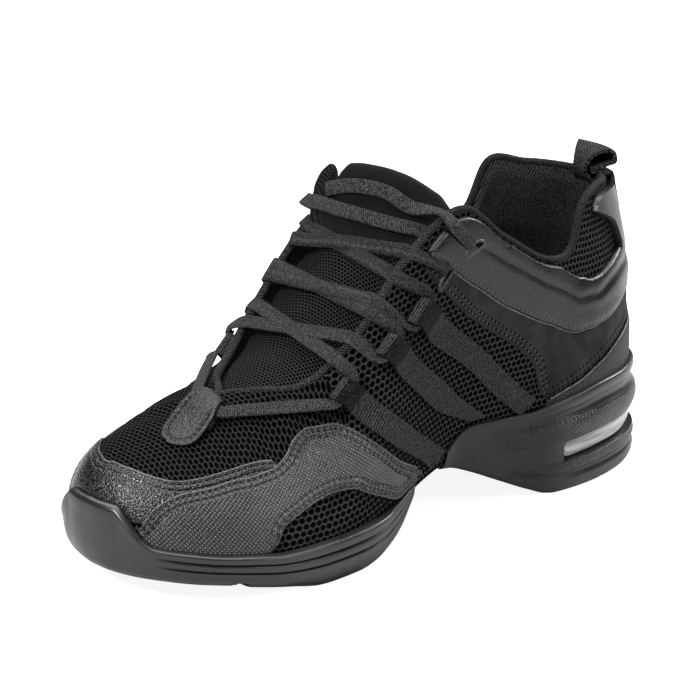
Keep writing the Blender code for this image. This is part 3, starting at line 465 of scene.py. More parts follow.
def sheet(outer, inner=None, charts=None, chart_used=None, paints=None, back=0, marks=None):
    """Grid laid on the outer points; inner points give thickness, and faces may have a chart and a paint."""
    rows, columns = outer.shape[:2]
    shape = bmesh.new()
    bmesh.ops.create_grid(shape, x_segments=columns - 1, y_segments=rows - 1, size=1)
    number = shape.verts.layers.int.new("number")
    uv = shape.loops.layers.uv.new(CHART)
    charts = (chart_of(outer),) if charts is None else charts
    charts = [chart.reshape(-1, 2) for chart in charts]
    for i, (vert, point) in enumerate(zip(shape.verts, outer.reshape(-1, 3))):
        vert[number] = i
        vert.co = point

    def chart_face(face, numbers):
        place = divmod(min(numbers), columns)
        used = charts[0 if chart_used is None else chart_used[place]]
        for loop, i in zip(face.loops, numbers):
            loop[uv].uv = used[i]
        return place

    for face in shape.faces:
        place = chart_face(face, [loop.vert[number] for loop in face.loops])
        face.material_index = 0 if paints is None else int(paints[place])
    bmesh.ops.remove_doubles(shape, verts=shape.verts, dist=WELD)
    bmesh.ops.dissolve_degenerate(shape, edges=shape.edges, dist=WELD / 4)
    if inner is not None:
        fronts = set(shape.faces)
        made = bmesh.ops.extrude_face_region(shape, geom=list(shape.faces))["geom"]
        backs = {item for item in made if isinstance(item, bmesh.types.BMFace)}
        points = inner.reshape(-1, 3)
        for item in made:
            if isinstance(item, bmesh.types.BMVert):
                item.co = points[item[number]]
        for face in backs:
            face.material_index = back if back else face.material_index
        for face in set(shape.faces) - fronts - backs:
            for loop in face.loops:
                loop[uv].uv = charts[0][loop.vert[number]]
    for word, values in (marks or {}).items():
        layer = shape.verts.layers.float.new(word)
        values = values.reshape(-1)
        for vert in shape.verts:
            vert[layer] = values[vert[number]]
    return shape


def close_ends(shape):
    """Fills what is still open."""
    rims = [edge for edge in shape.edges if edge.is_boundary]
    bmesh.ops.holes_fill(shape, edges=rims, sides=0)


def add_part(whole, part):
    """Moves a mesh that is being built into another one."""
    mesh = bpy.data.meshes.new("part")
    part.to_mesh(mesh)
    part.free()
    whole.from_mesh(mesh)
    bpy.data.meshes.remove(mesh)


def show(name, shape, materials, replaced=(), sharp=50):
    """Finished piece from a mesh in mm: normals out, place in the mesh, riding on the shoe."""
    bmesh.ops.recalc_face_normals(shape, faces=shape.faces)
    bmesh.ops.translate(shape, vec=-Vector(HEEL_MARK), verts=shape.verts)
    bmesh.ops.scale(shape, vec=(MM, MM, MM), verts=shape.verts)
    mesh = bpy.data.meshes.new(name)
    shape.to_mesh(mesh)
    shape.free()
    mesh.shade_smooth()
    mesh.set_sharp_from_angle(angle=math.radians(sharp))
    for material in materials:
        mesh.materials.append(material)
    piece = bpy.data.objects.new(name, mesh)
    scene.collection.objects.link(piece)
    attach(piece, "root")
    if replaced:
        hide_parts(*replaced)
    print(name, len(mesh.polygons), "faces")
    return piece


# %% [markdown]
# ## Shared finishes
# The same few effects return all over the shoe: rows of round holes in the knitted mesh, rows of needle
# holes beside a seam, ribs across webbing, the pebbles of leather. Each is one shader group with its own
# inputs, so that a material only says how large and how deep. They put out masks and heights and leave the
# shaders alone.

# %% Round holes of knitted mesh
EDGE_SOFT = .075
nodes, given, result = effect(
    "knit_holes", [("Chart", "Vector"), ("Across", "Float"), ("Along", "Float"), ("Size", "Float")], ["Hole"])
chart_u, chart_v, _ = nodes.split(given["Chart"])
line = nodes.math("DIVIDE", chart_v, given["Along"])
odd = nodes.math("MULTIPLY", nodes.math("FLOORED_MODULO", nodes.math("FLOOR", line), 2.0), .5)
spot = nodes.math("ADD", nodes.math("DIVIDE", chart_u, given["Across"]), odd)
aside = nodes.math("SUBTRACT", nodes.math("FRACT", spot), .5)
above = nodes.math("SUBTRACT", nodes.math("FRACT", line), .5)
apart = nodes.math("SQRT", nodes.math("ADD", nodes.math("MULTIPLY", aside, aside),
                                      nodes.math("MULTIPLY", above, above)))
start = nodes.math("SUBTRACT", given["Size"], EDGE_SOFT)
end = nodes.math("ADD", given["Size"], EDGE_SOFT)
nodes.wire(result["Hole"], nodes.ease(apart, start, end, 1, 0))
KNIT_HOLES = nodes.tree
print("effect:", KNIT_HOLES.name)

# %% Needle holes and the groove of a sewn seam
STITCH_PITCH = 2.4
NEEDLE_HOLE = .92
GROOVE_HALF = .85
SEAM_INPUTS = [(word, "Float") for word in ("Seam", "Run", "First", "Second")]
nodes, given, result = effect("seam", SEAM_INPUTS, ["Hole", "Groove"])
rows = [nodes.math("ABSOLUTE", nodes.math("SUBTRACT", given["Seam"], given[word]))
        for word in ("First", "Second")]
beside = nodes.math("MINIMUM", *rows)
phase = nodes.math("FRACT", nodes.math("DIVIDE", given["Run"], STITCH_PITCH))
ahead = nodes.math("MULTIPLY", nodes.math("SUBTRACT", phase, .5), STITCH_PITCH)
apart = nodes.math("SQRT", nodes.math("ADD", nodes.math("MULTIPLY", beside, beside),
                                      nodes.math("MULTIPLY", ahead, ahead)))
nodes.wire(result["Hole"], nodes.ease(apart, NEEDLE_HOLE * .55, NEEDLE_HOLE, 1, 0))
nodes.wire(result["Groove"], nodes.ease(beside, 0, GROOVE_HALF, 1, 0))
SEAM = nodes.tree
print("effect:", SEAM.name)

# %% Ribs, pebbles and dots
nodes, given, result = effect("ribs", [("Way", "Float"), ("Pitch", "Float")], ["Height"])
turn = nodes.math("MULTIPLY", nodes.math("DIVIDE", given["Way"], given["Pitch"]), math.tau)
nodes.wire(result["Height"], nodes.math("MULTIPLY_ADD", nodes.math("COSINE", turn), .5, .5))
RIBS = nodes.tree

nodes, given, result = effect("pebbles", [("Place", "Vector"), ("Size", "Float")], ["Height", "Patch"])
finer = nodes.math("DIVIDE", 1.0, given["Size"])
bent = nodes.sway(given["Place"], given["Place"], nodes.math("MULTIPLY", finer, .6), (.6, .6, .6))
cells = nodes.add("ShaderNodeTexVoronoi", {"Vector": bent, "Scale": finer}, feature="SMOOTH_F1")
nodes.wire(result["Height"], nodes.ease(cells.outputs["Distance"], .1, .75, 1, 0))
nodes.wire(result["Patch"], nodes.noise(given["Place"], .07, 3))
PEBBLES = nodes.tree

nodes, given, result = effect("dots", [("Chart", "Vector"), ("Pitch", "Float")], ["Height"])
chart_u, chart_v, _ = nodes.split(given["Chart"])
waves = [nodes.math("COSINE", nodes.math("MULTIPLY", nodes.math("DIVIDE", way, given["Pitch"]), math.tau))
         for way in (nodes.math("ADD", chart_u, chart_v), nodes.math("SUBTRACT", chart_u, chart_v))]
both = nodes.math("ADD", *waves)
nodes.wire(result["Height"], nodes.ease(both, -.2, 1.7))
DOTS = nodes.tree
print("effects:", RIBS.name, PEBBLES.name, DOTS.name)

# %% [markdown]
# ## Materials
# Everything on this shoe is black, so the materials differ by what light does on them: knitted mesh
# swallows it, nubuck scatters it, rubber and smooth leather mirror it softly. Each material takes the
# piece's own chart or its place in mm, and adds grain, weave, needle holes and a little dust to them. Holes
# are painted near black as their shade, and grain, weave and ribs are painted lighter on top and darker
# between, as painted highlight and shade.

# %% Starting a material


def begin(name, rough, **values):
    """New material: its nodes, its shader and the places it can read, in mm."""
    material = bpy.data.materials.new(name)
    material.use_nodes = True
    nodes = Nodes(material.node_tree)
    shader = material.node_tree.nodes["Principled BSDF"]
    shader.inputs["Roughness"].default_value = rough
    for word, value in values.items():
        shader.inputs[word.replace("_", " ")].default_value = value
    chart = nodes.add("ShaderNodeUVMap", uv_map=CHART).outputs[0]
    place = nodes.add("ShaderNodeVectorMath", operation="SCALE")
    nodes.wire(place.inputs[0], nodes.add("ShaderNodeTexCoord").outputs["Object"])
    place.inputs["Scale"].default_value = 1 / MM
    return material, nodes, shader, chart, place.outputs[0]


def mark(nodes, word):
    """Named value of the vertices."""
    return nodes.add("ShaderNodeAttribute", attribute_name=word).outputs["Fac"]


def knit(name, across, along, size, thread, hole_shade, depth, rough=.8):
    """Knitted mesh: light threads round holes painted near black as the shade inside them."""
    material, nodes, shader, chart, place = begin(name, rough, Specular_IOR_Level=.03)
    drift = nodes.sway(chart, place, .22, (.5, .5, 0))
    hole = nodes.group(KNIT_HOLES, Chart=drift, Across=across, Along=along, Size=size)["Hole"]
    fuzz = nodes.noise(place, 4.5, 2)
    light = nodes.mix(nodes.ease(fuzz, .3, .7), grey(thread * .45), grey(thread * 1.6))
    # The holes take a near-black colour: painted shade inside them.
    nodes.wire(shader.inputs["Base Color"], nodes.mix(hole, light, grey(hole_shade)))
    height = nodes.math("SUBTRACT", nodes.math("MULTIPLY_ADD", fuzz, .35, .65), hole)
    nodes.wire(shader.inputs["Normal"], nodes.bump(height, depth))
    return material


def leather(name, colour, rough, pebble, depth, dots=0.0, first=1.5, second=3.7, **values):
    """Leather with pebbles or pressed dots and needle holes beside its seams; its colour has a little dust,
    painted highlight on the raised grain, and painted shade between it and in the needle holes.
    """
    material, nodes, shader, chart, place = begin(name, rough, **values)
    pebbles = nodes.group(PEBBLES, Place=place, Size=pebble)
    height = pebbles["Height"]
    if dots:
        raised = nodes.group(DOTS, Chart=chart, Pitch=dots)["Height"]
        height = nodes.math("MULTIPLY_ADD", raised, .8, nodes.math("MULTIPLY", height, .2))
    seam = nodes.group(SEAM, Seam=mark(nodes, "seam"), Run=mark(nodes, "run"), First=first, Second=second)
    plain = nodes.math("SUBTRACT", 1.0, seam["Groove"])
    sunk = nodes.math("MULTIPLY_ADD", seam["Hole"], -2.6, nodes.math("MULTIPLY", height, plain))
    sunk = nodes.math("MULTIPLY_ADD", seam["Groove"], -.9, sunk)
    nodes.wire(shader.inputs["Normal"], nodes.bump(sunk, depth))
    # Colour: lighter on raised pebbles and dots and darker between them, as painted highlight and shade,
    # mixed with patches of real dust; needle holes are painted near black as their shade.
    relief_shade_and_dust = nodes.math("MULTIPLY_ADD", height, .6, nodes.math("MULTIPLY", pebbles["Patch"], .4))
    tone = nodes.mix(nodes.ease(relief_shade_and_dust, .3, .8), grey(colour * .3), grey(colour * 2.2))
    nodes.wire(shader.inputs["Base Color"], nodes.mix(seam["Hole"], tone, grey(.002)))
    worn = nodes.math("MULTIPLY_ADD", pebbles["Patch"], .22, rough - .11)
    nodes.wire(shader.inputs["Roughness"], worn)
    return material


# %% Knitted mesh and linings
vamp_mesh = knit("vamp_mesh", 2.3, 1.7, .43, .027, .0002, .9)
side_mesh = knit("side_mesh", 2.7, 2.35, .41, .042, .0002, .9)
tongue_mesh = knit("tongue_mesh", 1.7, 1.25, .38, .026, .0003, .8)
print("meshes:", [m.name for m in (vamp_mesh, side_mesh, tongue_mesh)])

# %% Leathers
toe_leather = leather("toe_leather", .006, .25, .62, .17, Specular_IOR_Level=.40)
guard_leather = leather("guard_leather", .055, .28, .6, .6, dots=1.65)
collar_leather = leather("collar_leather", .005, .28, .5, .05, first=2.0, second=2.0, Specular_IOR_Level=.40)
tab_leather = leather("tab_leather", .020, .38, .55, .4, first=2.0, second=2.0)
slot_leather = leather("slot_leather", .016, .3, .5, .05)
# Turned edges are lighter than most panels they edge: painted highlight along the edges.
edge_highlight_leather = leather("edge_highlight_leather", .055, .30, .5, .06)
print("leathers:", [m.name for m in (toe_leather, guard_leather, collar_leather, tab_leather)])

# %% Nubuck


def suede(name, dark, light):
    """Nubuck: a fine nap, brushed in clouds, with two sewn rows along its edges."""
    material, nodes, shader, _, place = begin(name, .95, Sheen_Weight=.06, Specular_IOR_Level=.1)
    shader.inputs["Sheen Roughness"].default_value = .5
    nap = nodes.noise(place, 5.5, 4)
    brushed = nodes.noise(place, .12, 3)
    seam = nodes.group(SEAM, Seam=mark(nodes, "seam"), Run=mark(nodes, "run"), First=1.6, Second=3.8)
    tone = nodes.mix(nodes.ease(brushed, .3, .7), grey(dark), grey(light))
    # Needle holes are painted near black, as the shade inside them.
    nodes.wire(shader.inputs["Base Color"], nodes.mix(seam["Hole"], tone, grey(.001)))
    height = nodes.math("MULTIPLY_ADD", seam["Hole"], -1.6, nodes.math("MULTIPLY", nap, .5))
    height = nodes.math("MULTIPLY_ADD", seam["Groove"], -.7, height)
    nodes.wire(shader.inputs["Normal"], nodes.bump(height, .22))
    return material


nubuck = suede("nubuck", .011, .026)
# The tongue's panel is the same nubuck painted about four times darker: painted shade on its upward face.
shaded_tongue_nubuck = suede("shaded_tongue_nubuck", .003, .006)
print("materials:", nubuck.name, shaded_tongue_nubuck.name)

# %% Ribbed trim round the heel
counter_trim, nodes, shader, chart, place = begin("counter_trim", .55, Specular_IOR_Level=.35)
ribs = nodes.group(RIBS, Way=nodes.split(chart)[0], Pitch=.95)["Height"]
seam = nodes.group(SEAM, Seam=mark(nodes, "seam"), Run=mark(nodes, "run"), First=1.5, Second=1.5)
height = nodes.math("MULTIPLY_ADD", seam["Groove"], -1.5, ribs)
nodes.wire(shader.inputs["Normal"], nodes.bump(height, .18))
# Crests of the ribs are painted lighter and their valleys darker, as painted highlight and shade; needle
# holes are painted near black as their shade.
tone = nodes.mix(ribs, grey(.005), grey(.030))
nodes.wire(shader.inputs["Base Color"], nodes.mix(seam["Hole"], tone, grey(.003)))
print("material:", counter_trim.name)

# %% Rubber, its tread and the clear window

# The heel's wedge is duller than the rest, and its colour is painted darker as shade: where that starts and
# ends, mm along the shoe
WEDGE_START = (-78, -55)
WEDGE_END = (-18, 0)
KNURL_PITCH = 1.8


def rubber(name, tread):
    """Satin rubber; the tread side has fine bars, and the ribs of the heel a knurl."""
    material, nodes, shader, chart, place = begin(name, .4)
    grain = nodes.noise(place, 2.2, 3)
    cloud = nodes.noise(place, .05, 3)
    if tread:
        along, aside, _ = nodes.split(place)
        bars = nodes.group(RIBS, Way=nodes.math("ADD", along, nodes.math("PINGPONG", aside, 6.0)), Pitch=4.0)
        height = nodes.ease(bars["Height"], .2, .5)
        nodes.wire(shader.inputs["Normal"], nodes.bump(height, .7))
    else:
        pressed = nodes.group(DOTS, Chart=chart, Pitch=KNURL_PITCH)["Height"]
        knurl = nodes.math("MULTIPLY", pressed, mark(nodes, "knurl"))
        height = nodes.math("MULTIPLY_ADD", grain, .06, knurl)
        nodes.wire(shader.inputs["Normal"], nodes.bump(height, .85))
    tone = nodes.mix(nodes.ease(cloud, .3, .7), grey(.010), grey(.018))
    length, _, _ = nodes.split(place)
    # Painted shade: the wedge's colour is darkened to near black, and it is made rougher.
    wedge = nodes.math("MULTIPLY", nodes.ease(length, *WEDGE_START), nodes.ease(length, *WEDGE_END, 1, 0))
    nodes.wire(shader.inputs["Base Color"], nodes.mix(wedge, tone, grey(.002)))
    worn = nodes.math("MULTIPLY_ADD", cloud, .20, .20)
    nodes.wire(shader.inputs["Roughness"], nodes.math("MULTIPLY_ADD", wedge, .35, worn))
    return material


sole_rubber = rubber("sole_rubber", False)
tread_rubber = rubber("tread_rubber", True)
window_plastic, nodes, shader, chart, place = begin(
    "window_plastic", .12, Transmission_Weight=.35, Coat_Weight=.6)
streak = nodes.noise(nodes.add("ShaderNodeVectorMath", {0: chart, 1: (.03, .5, 0)},
                               operation="MULTIPLY").outputs[0], 1.0, 3)
nodes.wire(shader.inputs["Base Color"], nodes.mix(nodes.ease(streak, .35, .65), grey(.24), grey(.64)))
nodes.wire(shader.inputs["Normal"], nodes.bump(streak, .3))
print("materials:", sole_rubber.name, tread_rubber.name, window_plastic.name)

# %% Webbing, lace, thread and insole cloth
# How far the ribs wander, and how thick one ply of a fold is, in mm
WEAVE_WANDER = .5
FOLD_PLY = .85


def woven(name, dark, light, rough, pitch_along, pitch_across, depth, slant=0.0, turn=0.0, smooth_end=0.0):
    """Woven band: ribs across it, finer threads along it; the ribs may slant, or turn back in chevrons."""
    material, nodes, shader, chart, place = begin(name, rough, Sheen_Weight=.02, Specular_IOR_Level=.08)
    across, along, _ = nodes.split(chart)
    aside = nodes.math("PINGPONG", across, turn) if turn else across
    uneven = nodes.math("MULTIPLY", nodes.noise(place, .9, 2), WEAVE_WANDER)
    way = nodes.math("ADD", nodes.math("MULTIPLY_ADD", aside, slant, along), uneven)
    ribs = nodes.group(RIBS, Way=way, Pitch=pitch_along)["Height"]
    threads = nodes.group(RIBS, Way=across, Pitch=pitch_across)["Height"]
    if smooth_end:
        fold = mark(nodes, "way")
        ribs = nodes.math("MULTIPLY", ribs, nodes.ease(fold, smooth_end, smooth_end + 1.5))
        plies = nodes.group(RIBS, Way=fold, Pitch=FOLD_PLY)["Height"]
        at_fold = nodes.ease(fold, FOLD_PLY * 3, FOLD_PLY * 3.5, 1, 0)
        ribs = nodes.math("ADD", ribs, nodes.math("MULTIPLY", plies, at_fold))
    fuzz = nodes.ease(nodes.noise(place, 1.4, 3), .35, .65)
    height = nodes.math("ADD", nodes.math("MULTIPLY_ADD", ribs, .5, nodes.math("MULTIPLY", threads, .2)),
                        nodes.math("MULTIPLY", fuzz, .4))
    nodes.wire(shader.inputs["Normal"], nodes.bump(height, depth))
    # Colour follows the weave's height: painted shade in its valleys and between the plies of a fold, painted
    # highlight on the ribs, with random fuzz.
    nodes.wire(shader.inputs["Base Color"], nodes.mix(nodes.ease(height, .3, .9), grey(dark), grey(light)))
    return material


strap_webbing = woven("strap_webbing", .001, .060, .7, 1.25, .7, .45, smooth_end=12.0)
loop_webbing = woven("loop_webbing", .004, .045, .7, 1.4, 1.2, .4, slant=1, turn=2.2)
lace_weave = woven("lace_weave", .002, .085, .75, .85, .65, .6, slant=.8, turn=1.0)
binding_tape = woven("binding_tape", .002, .045, .8, 1.2, .8, .4, slant=1, turn=1.1)
lining_cloth = woven("lining_cloth", .003, .050, .9, 1.5, 1.1, .35, slant=1)
rim_cloth = woven("rim_cloth", .004, .030, .9, 1.0, .9, .25)
insole_cloth = woven("insole_cloth", .008, .030, .9, 1.1, 1.1, .2, slant=1)
thread_black, nodes, shader, chart, place = begin("thread_black", .55, Sheen_Weight=.1)
nodes.wire(shader.inputs["Base Color"], nodes.mix(nodes.noise(place, 2.0, 2), grey(.020), grey(.065)))
# Near-black colour for the discs in the lace slots: painted shade of their openings.
slot_shade, nodes, shader, chart, place = begin("slot_shade", .95, Specular_IOR_Level=.1)
nodes.wire(shader.inputs["Base Color"], nodes.mix(nodes.noise(place, 2.0, 2), grey(.001), grey(.004)))
print("materials:", [m.name for m in (strap_webbing, loop_webbing, lace_weave, binding_tape, thread_black)])

# %% [markdown]
# ## Upper
# The shell is a knitted spacer mesh, lined inside, closed over the toes and open at the throat and the
# collar. It could be one big grid cut by the throat; laid ring by ring on the last, the grid meets itself
# along the vamp's ridge and is welded there, so that the throat opens by itself. The knit runs across the
# foot on the vamp and along it on the sides, with the change hidden under the overlays. The collar's lining
# is padded.

# %% Hollow upper
RINGS_FINE = 8
SHARES_FINE = 52
PAD = 3.0
VAMP_SLOPE = 1.08
VAMP_REAR = 6.28
# distance from the toe tip -> share over which the knit runs across the foot
VAMP_LINE = [(0, .30), (1.4, .25), (2.5, .30), (4.5, .34), (5.4, .46), (6.3, .60)]


def padding(ring, share):
    """Thickness in mm that the foam behind the collar's lining adds."""
    behind = curve([(0, 0), (8.4, 0), (9.6, 1), (16, 1)], from_toe(ring))
    return PAD * behind * curve([(0, 0), (.5, 0), (.72, 1), (.93, .9), (1, 0)], share)


around = np.arange(RING * RINGS_FINE + 1) / RINGS_FINE
ring_grid, share_grid = np.meshgrid(around, np.linspace(0, 1, SHARES_FINE + 1))
outer = skin(ring_grid, share_grid)
inner = wall(ring_grid, share_grid, -WALL - padding(ring_grid, share_grid))
ridge = int(THROAT_FRONT * RINGS_FINE)
for points in (outer, inner):
    joined = (points[-1, :ridge + 1] + points[-1, ::-1][:ridge + 1]) / 2
    points[-1, :ridge + 1] = joined
    points[-1, ::-1][:ridge + 1] = joined
vamp_chart = np.stack([outer[..., 1], outer[..., 0] * VAMP_SLOPE], -1)
girth = running(wall_point(around, .5)[None], 1)[0]
side_chart = np.stack([np.broadcast_to(girth, ring_grid.shape), running(outer, 0)], -1)
toe_way = from_toe(ring_grid[:-1, :-1] + .5 / RINGS_FINE)
on_vamp = (toe_way < VAMP_REAR) & (share_grid[:-1, :-1] > curve(VAMP_LINE, toe_way))
shell = sheet(outer, inner, (side_chart, vamp_chart), on_vamp.astype(int), paints=on_vamp.astype(int), back=2)
show("upper_shell", shell, [side_mesh, vamp_mesh, lining_cloth], ["upper"])

# %% Arch strip between the two soles
FLOOR_SAG = 1.0
ARCH = (7.2, 9.1)


def bed(distance, across, lift):
    """Point of the level between the two feather lines; across runs 0 lateral to 1 medial."""
    lateral = wall_point(distance, 0)
    medial = wall_point(RING - distance, 0)
    sag = FLOOR_SAG * 4 * across * (1 - across)
    return lateral + (medial - lateral) * across + UP * (lift - sag)


stations, across = np.meshgrid(np.linspace(*ARCH, 17), np.linspace(0, 1, 13))
under = bed(stations, across[..., None], 0)
show("arch_strip", sheet(under, under + UP * WALL), [side_mesh])

# %% [markdown]
# ## Overlays
# Leather panels are cut to a paper pattern, thinned at their edges and sewn on the mesh. Here a pattern is
# a table too: where round the shoe, and from which share to which share it reaches. The rows of its grid
# crowd at both edges, so that the edge rolls down to the mesh in a small quarter circle and catches the
# light.

# %% Cutting a panel
ROLL_RADIUS = .9
ROLL_STEPS = np.array([0, .12, .38, 1])
BASE = .05
SUNK = -.4
PATTERN_SHARE = .3
# Start of a seam that runs the whole length of its panel: a ring before every panel
ALL_ALONG = -9


def panel_rows(low, high, ring, middle):
    """Shares of a panel's rows, and mm from each row to the nearer edge, column by column."""
    steps = np.linspace(0, 1, 41)[:, None]
    width = running(wall_point(ring[None], low + (high - low) * steps), 0)[-1]
    roll = np.minimum(ROLL_RADIUS, .42 * width)
    inside = np.linspace(0, 1, middle + 2)[1:-1, None]
    lower = ROLL_STEPS[:, None] * roll
    upper = width - lower[::-1]
    away = np.concatenate([lower, roll + (width - 2 * roll) * inside, upper])
    edge = np.minimum(away, width - away)
    return low + (high - low) * away / width, np.sin(np.clip(edge / roll, 0, 1) * math.pi / 2) ** .7


def pattern_chart(ring, share):
    """Place on the flattened wall in mm: along the shoe, and up from the feather line."""
    steps = np.linspace(0, 1, 41)
    heights = running(wall_point(ring[None], np.repeat(steps[:, None], len(ring), 1)), 0)
    rise = np.array([np.interp(column, steps, high) for column, high in zip(share.T, heights.T)]).T
    along = running(wall_point(ring, PATTERN_SHARE)[None], 1)[0]
    return np.stack([np.broadcast_to(along, rise.shape), rise], -1)


def nearest_line(points, lines):
    """For each point the mm to the nearest of some lines, and the mm run along that line."""
    flat = points.reshape(-1, 3)
    apart, run = np.full(len(flat), 99.0), np.zeros(len(flat))
    for line in lines:
        way = running(line[None], 1)[0]
        for start, end, at in zip(line[:-1], line[1:], way):
            step = end - start
            part = np.clip((flat - start) @ step / (step @ step), 0, 1)
            here = np.linalg.norm(flat - start - part[:, None] * step, axis=1)
            run = np.where(here < apart, at + part * np.linalg.norm(step), run)
            apart = np.minimum(here, apart)
    return apart.reshape(points.shape[:-1]), run.reshape(points.shape[:-1])


def overlay(name, table, span, material, node, top=1.5, middle=14, step=.08, mirrored=False,
            sewn=((0, ALL_ALONG), (1, ALL_ALONG)), tuck=(0, 0), swell=None):
    """Panel between the edge curves of a table; sewn names its sewn edges, 0 lower and 1 upper, and the ring
    where each seam starts; tuck hides edges under a neighbour."""
    ring = np.linspace(*span, int(round((span[1] - span[0]) / step)) + 1)
    low, high = curve(table, ring, 1), curve(table, ring, 2)
    around = RING - ring if mirrored else ring
    share, roll = panel_rows(low + tuck[0], high + tuck[1], around, middle)
    ring_grid = np.broadcast_to(around, share.shape)
    height = top + (0 if swell is None else swell(np.broadcast_to(ring, share.shape), share))
    outer = skin(ring_grid, share, BASE + (height - BASE) * roll)
    lines = [skin(around[ring >= start], (low, high)[edge][ring >= start], top) for edge, start in sewn]
    apart, run = nearest_line(outer, lines)
    shape = sheet(outer, skin(ring_grid, share, SUNK), (pattern_chart(around, share),),
                  marks={"seam": apart, "run": run})
    return show(name, shape, [material], [node] if node else ())


# %% Toe cap, mudguards, quarters and heel counter
TOE_CAP = [(-2.6, .50, .56), (-2.2, .455, .64), (-1.8, .39, .70), (-1.4, .29, .76), (-1.15, .31, .80),
           (-.8, .41, .83), (0, .425, .84), (.6, .41, .83), (.9, .385, .79), (1.15, .29, .745),
           (1.4, .30, .70), (1.8, .40, .62), (2.5, .465, .525), (3.4, .468, .506), (4.1, .455, .488),
           (4.35, .462, .482)]
MUDGUARD = [(1.3, .19, .23), (1.45, .13, .275), (1.8, .085, .375), (2.5, .07, .445), (3.3, .06, .448),
            (3.8, .07, .432), (4.17, .188, .438), (4.53, .228, .475), (5.03, .268, .58), (5.45, .283, .638),
            (5.88, .263, .645), (6.12, .215, .58), (6.5, .14, .42), (7.15, .045, .20), (7.85, .04, .06)]
QUARTER = [(8.3, .875, .905), (8.65, .70, .80), (9.2, .552, .672), (9.9, .497, .64), (10.33, .445, .628),
           (10.7, .35, .61), (10.86, .20, .60), (11, .176, .59), (11.9, .228, .515), (13.1, .252, .40),
           (13.75, .296, .425), (14.6, .335, .468), (15.2, .365, .49), (15.94, .385, .50)]
GUARD_SEAM = 3.95
# Height in mm of each panel's face over the mesh
CAP_TOP = 1.15
GUARD_TOP = 1.7
QUARTER_TOP = 1.15
COUNTER_TOP = 1.5
COLLAR_TOP = 1.4
COUNTER = [(11.0, .145, .160), (11.9, .175, .212), (13.1, .168, .236), (13.75, .158, .28), (14.6, .162, .319),
           (15.2, .166, .349), (16, .17, .37)]


def both_ways(table):
    """A table of the lateral half continued round the heel to the medial half."""
    return table + [(RING - row[0], *row[1:]) for row in reversed(table) if row[0] < HEEL]


overlay("toe_cap_leather", TOE_CAP, (-2.6, 4.35), toe_leather, "toe_cap", CAP_TOP,
        sewn=((1, ALL_ALONG),), tuck=(-.04, 0))
for word, mirrored in (("lateral", False), ("medial", True)):
    overlay("mudguard_leather_" + word, MUDGUARD, (1.3, 7.85), guard_leather,
            "mudguard_" + word, GUARD_TOP, mirrored=mirrored, sewn=((0, GUARD_SEAM), (1, ALL_ALONG)))
    overlay("quarter_nubuck_" + word, QUARTER, (8.3, 15.99), nubuck, "quarter_" + word,
            QUARTER_TOP, mirrored=mirrored, sewn=((0, ALL_ALONG),), tuck=(0, .03))
overlay("heel_counter_trim", both_ways(COUNTER), (11.0, 21.0), counter_trim,
        "heel_counter", COUNTER_TOP, sewn=((1, ALL_ALONG),), tuck=(-.03, 0))

# %% [markdown]
# ## Collar band
# The collar is smooth leather over foam, pulled in by one line of stitches along its middle, so that it
# swells into two rolls. It dips behind the ankle round a patch of mesh and rises to a wing at the heel. The
# swelling could be simulated as cloth; a curve across the band gives the same two rolls and keeps the edges
# in place.

# %% Padded collar band
COLLAR = [(8.35, .925, .955), (8.6, .83, .965), (9.2, .69, .972), (10.1, .648, .972), (10.85, .62, .972),
          (11.2, .59, .965), (11.68, .548, .91), (12.28, .50, .80), (12.85, .435, .68), (13.35, .42, .644),
          (13.9, .443, .662), (14.4, .472, .69), (14.7, .49, .73), (14.9, .498, .85), (15.1, .505, .965),
          (15.3, .512, .972), (16, .52, .972)]
SWELL = 1.5
# Creases of the collar: depth, half width in mm, then ring and share along it
COLLAR_CREASES = [
    (.70, 1.7, [(9.0, .86), (9.4, .863), (9.83, .875), (10.48, .869), (11.3, .819), (12.3, .681),
                (13.15, .575), (13.75, .594), (14.35, .613), (15, .64), (16, .66)]),
    (.3, 2.2, [(11.6, .66), (11.93, .644), (13.18, .50), (13.7, .50), (14.5, .519), (15, .54)]),
]
CREASE_FADE = .6


def collar_swell(ring, share):
    """Height in mm of the padding, with its creases."""
    ring = from_toe(ring)
    low, high = curve(COLLAR, ring, 1), curve(COLLAR, ring, 2)
    part = np.clip((share - low) / (high - low), 0, 1)
    height = SWELL * np.sqrt(4 * part * (1 - part))
    for depth, half, line in COLLAR_CREASES:
        first, last = line[0][0], line[-1][0]
        stays = [(first + CREASE_FADE, 1), (last - .01, 1)]
        fade = curve([(0, 0), (first, 0), *stays, (last + CREASE_FADE, 0)], ring)
        height -= depth * fade * np.exp(-((share - curve(line, ring)) * MM_PER_SHARE / half) ** 2)
    return height


collar = overlay("collar_band_leather", both_ways(COLLAR), (8.35, 23.65), collar_leather,
                 "collar_band", COLLAR_TOP, middle=34, sewn=((0, ALL_ALONG),), swell=collar_swell)
# Wing of leather over the back of the heel: ring, lower and upper share; it fades into the band below
WING = [(13.38, .912, .93), (13.6, .888, .968), (13.88, .856, .975), (14.2, .815, .975), (14.38, .74, .975),
        (14.48, .66, .975), (14.7, .62, .975), (16, .62, .975)]
WING_RISE = [(0, .5), (13.38, .5), (14.2, .9), (14.9, .7), (16, .7)]
WING_SINK = 2.2
WING_FADE = [(0, 1), (.62, 1), (.70, 0), (1, 0)]


def wing_swell(ring, share):
    """Height in mm of the wing over its seam; it sinks into the band where the two meet."""
    ring = from_toe(ring)
    return curve(WING_RISE, ring) - WING_SINK * curve(WING_FADE, share)


overlay("heel_wing_leather", both_ways(WING), (13.38, 18.62), collar_leather, None, 2.3,
        middle=20, step=.05, sewn=(), swell=wing_swell)

